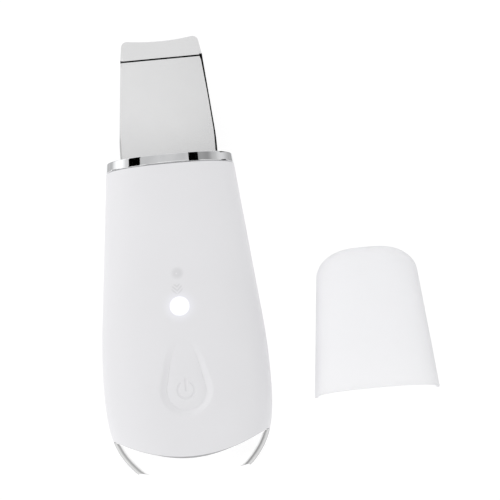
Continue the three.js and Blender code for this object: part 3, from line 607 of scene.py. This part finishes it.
def tip_columns(t, wide):
    """Columns and their way along the tip, whose end is hollowed a little and has round corners."""
    corner, hollow = 2.0, 0.8
    inner = BLADE_TIP_HALF - corner
    x = blade_columns(BLADE_TIP_HALF, wide)
    reach = BLADE_TIP_LENGTH - hollow * (1 - (x / inner) ** 2).clip(0, 1)
    off = np.clip(np.abs(x) - inner, 0, corner)
    rounded = BLADE_TIP_LENGTH - corner + np.sqrt(np.clip(corner ** 2 - off ** 2, 0, None))
    along = t * np.where(off > 0, rounded, reach)
    flare = np.clip(along / BLADE_TIP_FLARE, 0, 1)
    return x / BLADE_TIP_HALF * (BLADE_FOLD_HALF + (BLADE_TIP_HALF - BLADE_FOLD_HALF) * flare), along


def folded(x, level, theta, forward=None):
    """Points turned by theta about a line above the front face, then carried forward along the tip."""
    arm = BLADE_HALF_THICK + BLADE_BEND - level
    y = FOLD_START + arm * math.sin(theta)
    z = SEAM_Z + BLADE_HALF_THICK + BLADE_BEND - arm * math.cos(theta)
    if forward is not None:
        y = y + forward * math.cos(theta)
        z = z + forward * math.sin(theta)
    return np.stack([x, y, z], -1)


def blade():
    """A bevelled blade whose tip is folded up along a straight line."""
    bevel_width, bevel_depth = BEVEL
    from_edge = np.concatenate([BLADE_RIM, np.full(15, 9.0), BLADE_RIM[::-1]])
    # The bevel is narrowest half way along and widens into the corners of the fold.
    bevel_places = [66, 72, 84, 90, FOLD_START - 1.2, FOLD_START]
    bevel_shares = [1, 0.72, 0.66, 0.85, 1, BEVEL_AT_FOLD]
    sheets = [], []
    for kind, t in blade_stations():
        wide, thin, forward = BEVEL_AT_FOLD, 0.0, None
        if kind == "flat":
            wide = np.interp(t, bevel_places, bevel_shares)
            x = flat_columns(t, wide)
        elif kind == "fold":
            x = blade_columns(BLADE_FOLD_HALF + 0.02 * (1 - t), wide)
        else:
            x, along = tip_columns(t, wide)
            forward = np.maximum(along - BLADE_BEND * math.tan(BLADE_TIP_ANGLE / 2), 0.02)
            thin = 0.45 * max(0, (t - 0.72) / 0.28)
        drop = bevel_depth * wide * np.clip(1 - from_edge / bevel_width, 0, 1)
        if kind == "tip":
            drop = drop * max(0, 1 - 4 * t)
        for rows, level in zip(sheets, (BLADE_HALF_THICK - drop, np.full_like(x, thin - BLADE_HALF_THICK))):
            if kind == "flat":
                rows.append(np.stack([x, np.full_like(x, t), SEAM_Z + level], -1))
            else:
                rows.append(folded(x, level, BLADE_TIP_ANGLE * (t if kind == "fold" else 1.0), forward))
    top, bottom = np.array(sheets[0]), np.array(sheets[1])
    rows, columns = top.shape[:2]
    return thick(top.reshape(-1, 3), bottom.reshape(-1, 3), grid_faces(rows, columns))


# ---- cap

def cap_point(distance, angle, inset, y):
    """Points of the cap's section at a distance from its mouth, and the height of its middle."""
    t = max(0.0, (distance - CAP_SHOULDER) / (CAP_LENGTH - CAP_SHOULDER))
    share = 0.3 + 0.7 * math.sqrt(max(0.0, 1 - t ** CAP_END_POWER))
    width = (CAP_HALF_WIDTH - CAP_TAPER[0] * distance / CAP_SHOULDER) * share - inset
    middle = (CAP_HEIGHT - CAP_TAPER[1] * distance / CAP_SHOULDER) / 2
    half = middle * share - inset
    c, s = np.cos(angle), np.sin(angle)
    x = np.sign(c) * width * np.abs(c) ** (2 / CAP_POWER)
    lower = np.where(s < 0, 0.3, 0.0)
    z = middle + np.sign(s) * (half + lower) * np.abs(s) ** (2 / CAP_POWER)
    z = soft_floor(z, middle - half, 0.3) if inset == 0 else np.maximum(z, middle - half)
    return np.stack([CAP_X + x, np.full_like(x, y), z], -1), middle


def cap_sheet(inset, angles):
    """Rings from the mouth to the middle of the closed end."""
    last = CAP_LENGTH - inset
    straight = graded(0, CAP_SHOULDER, 1.6, (0, 0.03, 0.09, 0.17, 0.3, 0.7))[:-6]
    turn = np.sin(np.linspace(0, math.pi / 2, 15)) ** (2 / CAP_END_POWER)
    rings = []
    for d in [*straight, *(CAP_SHOULDER + turn * (CAP_LENGTH - CAP_SHOULDER))]:
        y = CAP_MOUTH_Y + d / CAP_LENGTH * last
        ease = float(fillet(d, 0.3)) if inset == 0 else -float(fillet(d, 0.3))
        ring, middle = cap_point(d, angles, inset, y)
        centre = np.array([CAP_X, y, middle])
        scale = np.linalg.norm((ring - centre)[:, [0, 2]], axis=1, keepdims=True)
        ring = centre + (ring - centre) * (1 - ease / scale)
        # The lower half of the mouth slopes back; the slope fades out along the cap.
        lower = soft_floor(CAP_HEIGHT / 2 - ring[:, 2], 0, 0.5)
        ring[:, 1] += CAP_MOUTH_SLOPE * lower * max(0.0, 1 - d / 14)
        rings.append(ring)
    centre = np.array([CAP_X, rings[-1][0, 1], middle])
    rings += [centre + (rings[-1] - centre) * share for share in (0.8, 0.55, 0.28, 0.001)]
    return np.stack(rings)


def cap():
    """A blunt hollow cap with two grip ribs inside each of its sides."""
    angles = round_section(80)
    outer, inner = cap_sheet(0, angles), cap_sheet(CAP_WALL, angles)
    rows, columns = outer.shape[:2]
    faces = grid_faces(rows, columns, False, True)
    faces.append(tuple(range((rows - 1) * columns, rows * columns)))
    shell = thick(outer.reshape(-1, 3), inner.reshape(-1, 3), faces)
    ribs = []
    for side in (-1, 1):
        for z in (5.6, 10.0):
            x = CAP_X + side * 17.4
            reach = sorted((x - side * 1.5, x + side * 1.2))
            ribs.append(bar(*reach, CAP_MOUTH_Y + 4, CAP_MOUTH_Y + 14, z - 0.5, z + 0.5))
    return join(shell, *ribs)


# ---- materials

class Nodes:
    """A node tree with short ways to add to it."""

    def __init__(self, owner):
        owner.use_nodes = True
        self.tree = owner.node_tree

    def put(self, value, socket):
        if isinstance(value, bpy.types.NodeSocket):
            self.tree.links.new(value, socket)
        elif isinstance(value, tuple) and socket.type == "RGBA":
            socket.default_value = (*value, 1)
        else:
            socket.default_value = value

    def node(self, kind, inputs=None, **attributes):
        made = self.tree.nodes.new("ShaderNode" + kind)
        for key, value in attributes.items():
            setattr(made, key, value)
        for key, value in (inputs or {}).items():
            self.put(value, made.inputs[key])
        return made

    def math(self, operation, a, b=0.0, clamp=False):
        return self.node("Math", {0: a, 1: b}, operation=operation, use_clamp=clamp).outputs[0]

    def times(self, a, b):
        return self.math("MULTIPLY", a, b)

    def plus(self, a, b, clamp=False):
        return self.math("ADD", a, b, clamp)

    def minus(self, a, b):
        return self.math("SUBTRACT", a, b)

    def size(self, a):
        return self.math("ABSOLUTE", a)

    def spread(self, value, from_low, from_high, to_low, to_high, smooth=False):
        kind = "SMOOTHSTEP" if smooth else "LINEAR"
        inputs = {0: value, 1: from_low, 2: from_high, 3: to_low, 4: to_high}
        return self.node("MapRange", inputs, interpolation_type=kind).outputs[0]

    def within(self, value, near, far):
        """1 up to near, falling smoothly to 0 at far."""
        return self.spread(value, near, far, 1, 0, True)

    def ramp(self, value, stops):
        """Grey levels that follow (place, level) stops."""
        made = self.node("ValToRGB", {0: value})
        elements = made.color_ramp.elements
        for k, (at, level) in enumerate(stops):
            stop = elements[k] if k < 2 else elements.new(at)
            stop.position = at
            stop.color = (level, level, level, 1)
        return made.outputs[0]

    def parts(self, vector):
        return tuple(self.node("SeparateXYZ", {0: vector}).outputs)


class Look(Nodes):
    """A node material round one Principled shader."""

    def __init__(self, name, **sockets):
        self.material = bpy.data.materials.new(name)
        super().__init__(self.material)
        self.shader = self.tree.nodes["Principled BSDF"]
        self.place = self.node("TexCoord").outputs["Object"]
        self.set(**sockets)

    def set(self, **sockets):
        for key, value in sockets.items():
            self.put(value, self.shader.inputs[key.replace("_", " ")])

    def fed_by(self, key):
        return self.shader.inputs[key].links[0].from_socket

    def noise(self, scale, detail=2.0, vector=None, roughness=0.5):
        inputs = {"Vector": vector or self.place, "Scale": scale, "Detail": detail, "Roughness": roughness}
        return self.node("TexNoise", inputs).outputs["Fac"]

    def uneven(self, noise, low, high):
        """The middle of a noise, spread from low to high."""
        return self.spread(noise, 0.3, 0.7, low, high)

    def blend(self, share, a, b, kind="MIX"):
        made = self.node("Mix", data_type="RGBA", blend_type=kind)
        for index, value in ((0, share), (6, a), (7, b)):
            self.put(value, made.inputs[index])
        return made.outputs[2]

    def bump(self, height, strength, distance):
        made = self.node("Bump", {"Height": height, "Strength": strength, "Distance": distance})
        self.set(Normal=made.outputs[0])

    def facing(self):
        return self.parts(self.node("NewGeometry").outputs["Normal"])

    def surface(self, share, first, second):
        """Makes the surface a mix of two shaders."""
        mixed = self.node("MixShader", {0: share, 1: first.outputs[0], 2: second.outputs[0]})
        self.put(mixed.outputs[0], self.tree.nodes["Material Output"].inputs["Surface"])

    def distance(self, dx, dy):
        return self.math("SQRT", self.plus(self.times(dx, dx), self.times(dy, dy)))


CASING_WHITE = (0.876, 0.873, 0.893)
# Grey of the painted shade on the cap's sides.
CAP_PAINTED_SIDE_SHADE = (0.88, 0.88, 0.888)


def moulded(name, colour, roughness=0.5, grain=9000, strength=0.12, variation=0.02):
    """Moulded plastic: fine grain, a slow drift of tone and a slightly uneven sheen."""
    look = Look(name)
    dark = tuple(c * (1 - variation) for c in colour)
    look.set(Base_Color=look.blend(look.uneven(look.noise(42, 3), 0, 1), dark, colour))
    look.set(Roughness=look.uneven(look.noise(260, 4), roughness - 0.05, roughness + 0.05))
    look.bump(look.noise(grain, 2), strength, 0.00003)
    return look


def front_look():
    """The casing's plastic with the lit lamp and two faint marks that shine through it."""
    look = moulded("casing_soft_touch", CASING_WHITE)
    x, y, _ = look.parts(look.place)

    def around(centre_y, offset_x=0.0):
        dx = look.minus(x, offset_x * MM)
        dy = look.minus(y, centre_y * MM)
        return look.distance(dx, dy), dx, dy

    # Lit lamp under thin plastic: a white disc with a soft, slightly blue halo.
    lit = around(LED_Y[0] - 0.3)[0]
    disc = look.within(lit, 0.0022, 0.0034)
    halo = look.within(lit, 0.0024, 0.0075)
    glow = look.plus(look.times(disc, 1.2), look.times(look.times(halo, halo), 0.09))
    look.set(Emission_Color=look.blend(disc, (0.72, 0.74, 1.0), (1, 1, 1)), Emission_Strength=glow)

    # Two unlit mode marks: a ring of dots round a spot, and two nested chevrons.
    far = around(LED_Y[2], 0.1)[0]
    pip = around(LED_Y[2] - 0.1, -0.2)[0]
    spot = look.times(look.within(far, 0.0009, 0.0025), look.spread(pip, 0.00015, 0.0004, 0, 1, True))
    near, dx, dy = around(LED_Y[1] + 0.45, -0.35)
    stripe = look.math("PINGPONG", look.plus(look.minus(look.size(dx), dy), 0.0013), 0.00065)
    stripe = look.spread(stripe, 0.0001, 0.0005, 0, 1, True)
    chevrons = look.times(stripe, look.within(near, 0.0013, 0.0021))
    marks = look.plus(look.times(spot, 0.55), look.times(chevrons, 0.6), True)
    marked = look.blend(marks, (1, 1, 1), (0.8, 0.8, 0.8))
    skin = look.blend(1.0, look.fed_by("Base Color"), marked, "MULTIPLY")

    # Painted shade: the end face at the tail is painted darker, where the casing's edge turns under.
    backwards = look.times(look.facing()[1], -1.0)
    cut = look.times(look.spread(backwards, 0.3, 0.65, 0, 1, True), look.math("LESS_THAN", y, -0.022))
    look.set(Base_Color=look.blend(cut, skin, (0.36, 0.36, 0.37)))
    return look.material


def key_look():
    """The casing's plastic, with painted shade darkening the groove of the standby symbol."""
    look = moulded("key_soft_touch", CASING_WHITE, 0.48)
    x, y, _ = look.parts(look.place)
    up = look.minus(y, KEY_Y * MM)
    ring = look.within(look.size(look.minus(look.distance(x, up), SYMBOL_RADIUS * MM)), 0.0003, 0.0006)
    lean = look.math("ARCTAN2", look.size(x), up)
    ring = look.times(ring, look.math("GREATER_THAN", lean, SYMBOL_GAP - math.radians(2)))
    above = look.times(look.math("GREATER_THAN", up, -0.0004), look.math("LESS_THAN", up, 0.0039))
    stem = look.times(look.within(look.size(x), 0.0003, 0.0006), above)
    # Painted shade: the symbol's groove is darkened in the key's colour.
    painted_groove_shade = look.times(look.math("MAXIMUM", ring, stem), 0.16)
    look.set(Base_Color=look.blend(painted_groove_shade, look.fed_by("Base Color"), tuple(c * 0.82 for c in CASING_WHITE)))
    return look.material


def chrome_look():
    look = Look("chrome_plate", Metallic=1.0)
    smudge = look.noise(240, 4)
    share = look.spread(smudge, 0.35, 0.7, 0, 1)
    look.set(Base_Color=look.blend(share, (0.86, 0.865, 0.875), (0.81, 0.815, 0.83)))
    look.set(Roughness=look.spread(smudge, 0.3, 0.75, 0.02, 0.05))
    look.bump(look.noise(700, 1), 0.015, 0.0001)
    return look.material


def blade_look():
    """Polished steel with faint brushing across the blade."""
    look = Look("blade_polish", Metallic=1.0)
    stretched = look.node("Mapping", {"Vector": look.place, "Scale": (250, 26000, 250)}).outputs[0]
    lines = look.noise(1.0, 3, stretched, 0.6)
    cloud = look.uneven(look.noise(55, 3), 0, 1)
    look.set(Base_Color=look.blend(cloud, (0.80, 0.80, 0.803), (0.775, 0.775, 0.78)))
    look.set(Roughness=look.uneven(lines, 0.09, 0.15))
    look.bump(lines, 0.02, 0.00002)
    return look.material


def steel_look(name, colour, roughness):
    look = Look(name, Metallic=1.0)
    lathe = look.noise(3200, 2)
    look.set(Base_Color=look.blend(lathe, colour, tuple(c * 0.85 for c in colour)))
    look.set(Roughness=look.uneven(look.noise(900, 3), roughness - 0.06, roughness + 0.08))
    look.bump(lathe, 0.06, 0.00003)
    return look.material


def clear_look():
    """Clear plastic seen straight through; its steep outer sides carry painted grey streaking, standing in for
    reflection and shade in the walls, and a sheen.
    """
    look = Look("clear_acrylic", Base_Color=(1.0, 1.0, 1.0), Metallic=1.0, Roughness=0.03)
    haze = look.noise(120, 3)
    look.bump(look.noise(90, 2), 0.01, 0.0001)
    # Painted reflection and shade: grey bands set by the angle the wall is seen at, darker towards +x.
    facing = look.node("LayerWeight", {"Blend": 0.5}).outputs["Facing"]
    painted_streak_shade = look.ramp(facing, ((0, 1), (0.26, 1), (0.34, 0.85), (0.41, 0.42), (0.49, 0.5), (0.58, 0.7),
                                 (0.72, 0.76), (0.86, 0.68), (1, 0.42)))
    # The painted streaking of reflection and shade goes on the outside of the side walls, up to the edge of
    # the casings.
    x, y, z = look.parts(look.place)
    geometry = look.node("NewGeometry").outputs
    nx, ny, _ = look.parts(geometry["Normal"])
    sideways = look.minus(look.size(nx), look.times(look.size(ny), 0.5))
    share = look.spread(sideways, 0.0, 0.12, 0, 1, True)
    share = look.times(share, look.math("GREATER_THAN", look.times(nx, x), 0.0))
    share = look.times(share, look.minus(1.0, geometry["Backfacing"]))
    centre, radius = (TAIL_ARC[0] + TAIL_ARC[1]) * MM, TAIL_ARC[1] * MM
    edge = look.minus(centre, look.math("SQRT", look.minus(radius * radius, look.times(x, x))))
    lean = look.times(look.math("MAXIMUM", look.minus(SEAM_Z * MM, z), 0.0), REAR_SLOPE)
    share = look.times(share, look.math("LESS_THAN", y, look.minus(look.plus(edge, lean), 0.1 * MM)))
    share = look.times(share, look.uneven(haze, 0.92, 1.0))
    level = look.math("POWER", painted_streak_shade, look.spread(x, -0.012, 0.012, 1.28, 1.48))
    level = look.minus(1.0, look.times(share, look.minus(1.0, level)))
    through = look.node("BsdfTransparent", {"Color": level})
    sheen = look.times(look.node("Fresnel", {"IOR": 1.3}).outputs[0], 0.25)
    look.surface(look.times(sheen, share), through, look.shader)
    return look.material


def frosted_look():
    """Frosted plastic that lets some light through, with a faint painted glow that brightens it all over."""
    look = moulded("cap_frosted", (0.985, 0.985, 0.992), 0.46, 7000, 0.1, 0.008)
    # Painted glow: a faint emission that lifts the whole cap, with no lamp inside it.
    look.set(Emission_Color=(0.95, 0.95, 1.0), Emission_Strength=0.038)
    # Painted shade: the plastic is greyer, in its colour and in the light it lets through, where its surface
    # turns from facing up or down, round its sides, its closed end and the rim of its mouth.
    side = look.within(look.size(look.facing()[2]), 0.3, 0.94)
    look.set(Base_Color=look.blend(side, look.fed_by("Base Color"), CAP_PAINTED_SIDE_SHADE))
    colour = look.blend(side, (0.99, 0.99, 0.995), CAP_PAINTED_SIDE_SHADE)
    back = look.node("BsdfTranslucent", {"Color": colour, "Normal": look.fed_by("Normal")})
    look.surface(0.36, look.shader, back)
    return look.material


def board_look():
    """Green solder mask with a faint grid of tracks and tinned pads."""
    look = Look("board_green", Roughness=0.35)
    x, y, _ = look.parts(look.place)
    tracks = [look.within(look.math("PINGPONG", value, pitch), 0.00012, 0.0002)
              for value, pitch in ((x, 0.0017), (y, 0.0023))]
    broken = look.spread(look.noise(260, 1), 0.5, 0.56, 0, 1)
    track = look.times(look.math("MAXIMUM", *tracks), broken)
    pads = look.node("TexVoronoi", {"Vector": look.place, "Scale": 330.0}).outputs["Distance"]
    pad = look.within(pads, 0.1, 0.14)
    green = look.blend(track, (0.012, 0.16, 0.05), (0.03, 0.27, 0.09))
    look.set(Base_Color=look.blend(pad, green, (0.72, 0.73, 0.74)), Metallic=look.times(pad, 0.9))
    look.bump(look.plus(track, pad), 0.15, 0.00004)
    return look.material


def lamp_look():
    look = moulded("lamp_white", (0.95, 0.95, 1.0), 0.35)
    look.set(Emission_Color=(0.93, 0.95, 1.0), Emission_Strength=look.uneven(look.noise(1500, 1), 1.2, 1.8))
    return look.material


def foil_look():
    look = Look("cell_foil", Metallic=0.75)
    crumple = look.noise(330, 5)
    look.set(Base_Color=look.blend(crumple, (0.62, 0.64, 0.67), (0.78, 0.79, 0.82)))
    look.set(Roughness=look.uneven(crumple, 0.28, 0.45))
    look.bump(crumple, 0.25, 0.0002)
    return look.material


# Name, colour, roughness, grain, strength of the grain, drift of tone.
PLASTICS = {
    "casing": ("casing_inner", CASING_WHITE),
    "piezo_ceramic": ("ceramic_silvered", (0.56, 0.54, 0.47), 0.38, 2500, 0.2, 0.1),
    "nylon": ("nylon_natural", (0.78, 0.77, 0.72), 0.5, 6000, 0.15, 0.05),
    "silicone": ("silicone_grey", (0.62, 0.62, 0.63), 0.65, 5000, 0.1, 0.05),
    "black_plastic": ("plastic_black", (0.02, 0.02, 0.022), 0.45, 5000, 0.15, 0.2),
    "ferrite": ("ferrite_grey", (0.05, 0.05, 0.055), 0.6, 3000, 0.4, 0.25),
    "foam": ("foam_dark", (0.04, 0.04, 0.042), 0.9, 1800, 0.9, 0.4),
    "lead_red": ("lead_red", (0.42, 0.02, 0.025), 0.45, 3000, 0.1, 0.1),
    "lead_black": ("lead_black", (0.015, 0.015, 0.016), 0.45, 3000, 0.1, 0.2),
}
MOULDED = {slot: moulded(*values) for slot, values in PLASTICS.items()}
MOULDED["piezo_ceramic"].set(Metallic=0.25)
LOOKS = {slot: look.material for slot, look in MOULDED.items()}
LOOKS.update({
    "chrome": chrome_look(),
    "blade_steel": blade_look(),
    "screw_steel": steel_look("screw_steel", (0.5, 0.51, 0.53), 0.32),
    "socket_steel": steel_look("socket_steel", (0.7, 0.71, 0.73), 0.25),
    "clear_plastic": clear_look(),
    "frosted_plastic": frosted_look(),
    "board": board_look(),
    "lamp": lamp_look(),
    "cell_foil": foil_look(),
})


# ---- the pieces

piece("front_casing", front_casing(), "handle", front_look(), ["front_shell"])
piece("rear_casing", rear_casing(), "handle", LOOKS["casing"], ["rear_shell"])
piece("neck_collar", collar(), "handle", LOOKS["chrome"], ["chrome_collar"])
piece("skirt_clear", skirt(), "handle", LOOKS["clear_plastic"], ["clear_skirt"])
piece("blade_polished", blade(), "handle", LOOKS["blade_steel"], ["spatula_blade"], 20.0)
piece("key_plate", key(), "power_button", key_look(), ["power_button"], 50.0)
piece("cap_frosted", cap(), "cap", LOOKS["frosted_plastic"], ["cap_shell"])

SLOT_OF_NODE = {part["node"]: part["material_slot"] for part in frame["record"]["subparts"]}
for node_name, node in frame["nodes"].items():
    for material_slot in node.material_slots:
        material_slot.material = LOOKS[SLOT_OF_NODE[node_name]]


# ---- camera, floor and light

def fitted_camera():
    """A long lens, tilted towards the tail and rolled a little."""
    target = Vector((23.21, 33.079, 0)) * MM
    tilt, turn, roll = (math.radians(a) for a in (13.5, 1.861, -4.854))
    distance = 1.5
    back = Vector((math.sin(turn), -math.sin(tilt) * math.cos(turn), math.cos(tilt) * math.cos(turn)))
    right = Vector((0, 1, 0)).cross(back).normalized()
    up = back.cross(right)
    right, up = math.cos(roll) * right + math.sin(roll) * up, math.cos(roll) * up - math.sin(roll) * right
    data = bpy.data.cameras.new("camera")
    data.sensor_width = 36
    data.lens = 332.5901
    data.clip_start, data.clip_end = 0.05, 60
    made = bpy.data.objects.new("camera", data)
    SCENE.collection.objects.link(made)
    turned_axes = Matrix((right, up, back)).transposed().to_4x4()
    made.matrix_world = Matrix.Translation(target + distance * back) @ turned_axes
    SCENE.camera = made


def stage_quad(name, corners, look):
    mesh = bpy.data.meshes.new(name)
    mesh.from_pydata(corners, [], [(0, 1, 2, 3)])
    mesh.materials.append(look)
    made = bpy.data.objects.new(name, mesh)
    SCENE.collection.objects.link(made)
    return made


def glow_look(name, level, ramp=None, tilt=None):
    """Even light from a card, or light that follows stops along one axis, with a slope along x."""
    material = bpy.data.materials.new(name)
    glow = Nodes(material)
    glow.tree.nodes.clear()
    light = glow.node("Emission", {"Strength": level})
    glow.node("OutputMaterial", {"Surface": light.outputs[0]})
    if ramp:
        axis, stops = ramp
        low, high = stops[0][0], stops[-1][0]
        place = glow.parts(glow.node("TexCoord").outputs["Object"])
        shares = [((at - low) / (high - low), value) for at, value in stops]
        glow.put(glow.ramp(glow.spread(place[axis], low, high, 0, 1), shares), light.inputs["Color"])
        if tilt:
            glow.put(glow.spread(place[0], *tilt), light.inputs["Strength"])
    return material


def card(name, corners, level, ramp=None, tilt=None):
    """A card that only shows in glossy reflections."""
    made = stage_quad(name, corners, glow_look(name, level, ramp, tilt))
    made.visible_camera = False
    made.visible_diffuse = False
    made.visible_transmission = False
    made.visible_shadow = False
    return made


def overhead(name, height, x0, x1, y0, y1, level, ramp=None, tilt=None):
    corners = [(x0, y0, height), (x1, y0, height), (x1, y1, height), (x0, y1, height)]
    return card(name, corners, level, ramp, tilt)


def beside(name, x, y0, y1, z0, z1, level, ramp=None):
    return card(name, [(x, y0, z0), (x, y1, z0), (x, y1, z1), (x, y0, z1)], level, ramp)


def slope(degrees):
    return math.tan(math.radians(degrees))


fitted_camera()

floor_look = Look("floor_pale", Base_Color=(0.25, 0.25, 0.25), Roughness=1.0, Specular_IOR_Level=0.0,
                  Emission_Color=(1.0, 1.0, 1.0), Emission_Strength=0.82)
stage_quad("floor", [(-4, -4, 0), (4, -4, 0), (4, 4, 0), (-4, 4, 0)], floor_look.material)

# The sky dims from -x to +x, and once more towards its +x end.
world = bpy.data.worlds.new("studio")
SCENE.world = world
sky = Nodes(world)
sky_x = sky.parts(sky.node("TexCoord").outputs["Generated"])[0]
sky_level = sky.minus(sky.spread(sky_x, -1, 1, 1.05, 0.76), sky.spread(sky_x, 0.4, 1, 0, 0.17))
sky_light = sky.tree.nodes["Background"].inputs
sky.put((1, 1, 1), sky_light["Color"])
sky.put(sky_level, sky_light["Strength"])

# Reflections in the collar: two dark flags and a dark grey panel among soft grey bands.
HEIGHT = 0.6
RISE = HEIGHT - 0.02  # from the top of the collar
overhead("flag_left", HEIGHT, -0.0133 + RISE * slope(-33.1), -0.0097 + RISE * slope(-19), 0.15, 0.6, 0.0)
overhead("flag_right", HEIGHT, 0.0064 + RISE * slope(6.7), 0.0096 + RISE * slope(15), 0.15, 0.6, 0.0)
overhead("bands_above", HEIGHT + 0.02, -0.5, 0.62, 0.24, 0.66, 1.0,
         (0, [(-0.5, 0.8), (-0.42, 0.74), (-0.24, 0.45), (-0.21, 0.6), (-0.14, 0.61), (-0.1, 0.64),
              (-0.062, 0.69), (-0.03, 0.67), (0, 0.645), (0.04, 0.6), (0.07, 0.65), (0.16, 0.35), (0.22, 0.37),
              (0.27, 0.33), (0.32, 0.32), (0.38, 0.42), (0.43, 0.53), (0.52, 0.58), (0.62, 0.64)]))
beside("bands_left", -0.5, 0.24, 0.9, 0.0, 0.64, 1.4,
       (2, [(0.0, 0.4), (0.06, 0.43), (0.1, 0.52), (0.15, 0.66), (0.2, 0.75), (0.26, 0.85), (0.33, 0.95),
            (0.44, 0.95), (0.53, 0.78), (0.64, 0.58)]))
beside("bands_right", 0.6, 0.27, 0.9, 0.0, 0.64, 1.0,
       (2, [(0.0, 0.53), (0.05, 0.56), (0.13, 0.62), (0.24, 0.74), (0.36, 0.8), (0.48, 0.77), (0.64, 0.66)]))
overhead("bands_floor_left", 0.001, -0.6, -0.03, 0.062, 0.3, 1.0,
         (0, [(-0.6, 0.58), (-0.3, 0.62), (-0.16, 0.5), (-0.08, 0.66), (-0.05, 0.56), (-0.03, 0.62)]))
overhead("bands_floor_right", 0.001, 0.03, 0.7, 0.062, 0.34, 1.0,
         (0, [(0.03, 0.42), (0.06, 0.5), (0.1, 0.45), (0.2, 0.55), (0.7, 0.52)]))
# Reflections in the blade: a soft gradient on its face, grey to its left edge, dark to its right edge
# and its fold.
overhead("panel_blade", 0.5, -0.06, 0.05, 0.165, 0.25, 1.0,
         (1, [(0.165, 0.54), (0.181, 0.57), (0.19, 0.7), (0.2, 0.87), (0.208, 0.92), (0.216, 0.92),
              (0.25, 0.9)]),
         (-0.03, -0.003, 1.09, 0.965))
beside("panel_low_left", -0.49, 0.17, 0.235, 0.08, 0.3, 0.62)
beside("flag_low_right", 0.59, -0.4, 0.285, 0.15, 0.4, 0.02)
beside("flag_edge_right", 0.06, 0.0845, 0.14, 0.02, 0.045, 0.0)
beside("flag_low_left", -0.49, -0.1, 0.165, 0.08, 0.4, 0.02)
overhead("flag_camera", 1.0, -0.25, 0.3, 0.11 - slope(37), 0.11 + slope(5), 0.0)

SCENE.cycles.max_bounces = 24
SCENE.cycles.diffuse_bounces = 12
SCENE.cycles.transmission_bounces = 20
SCENE.cycles.transparent_max_bounces = 32
SCENE.view_settings.view_transform = "Standard"
SCENE.view_settings.look = "None"

bpy.context.view_layer.update()
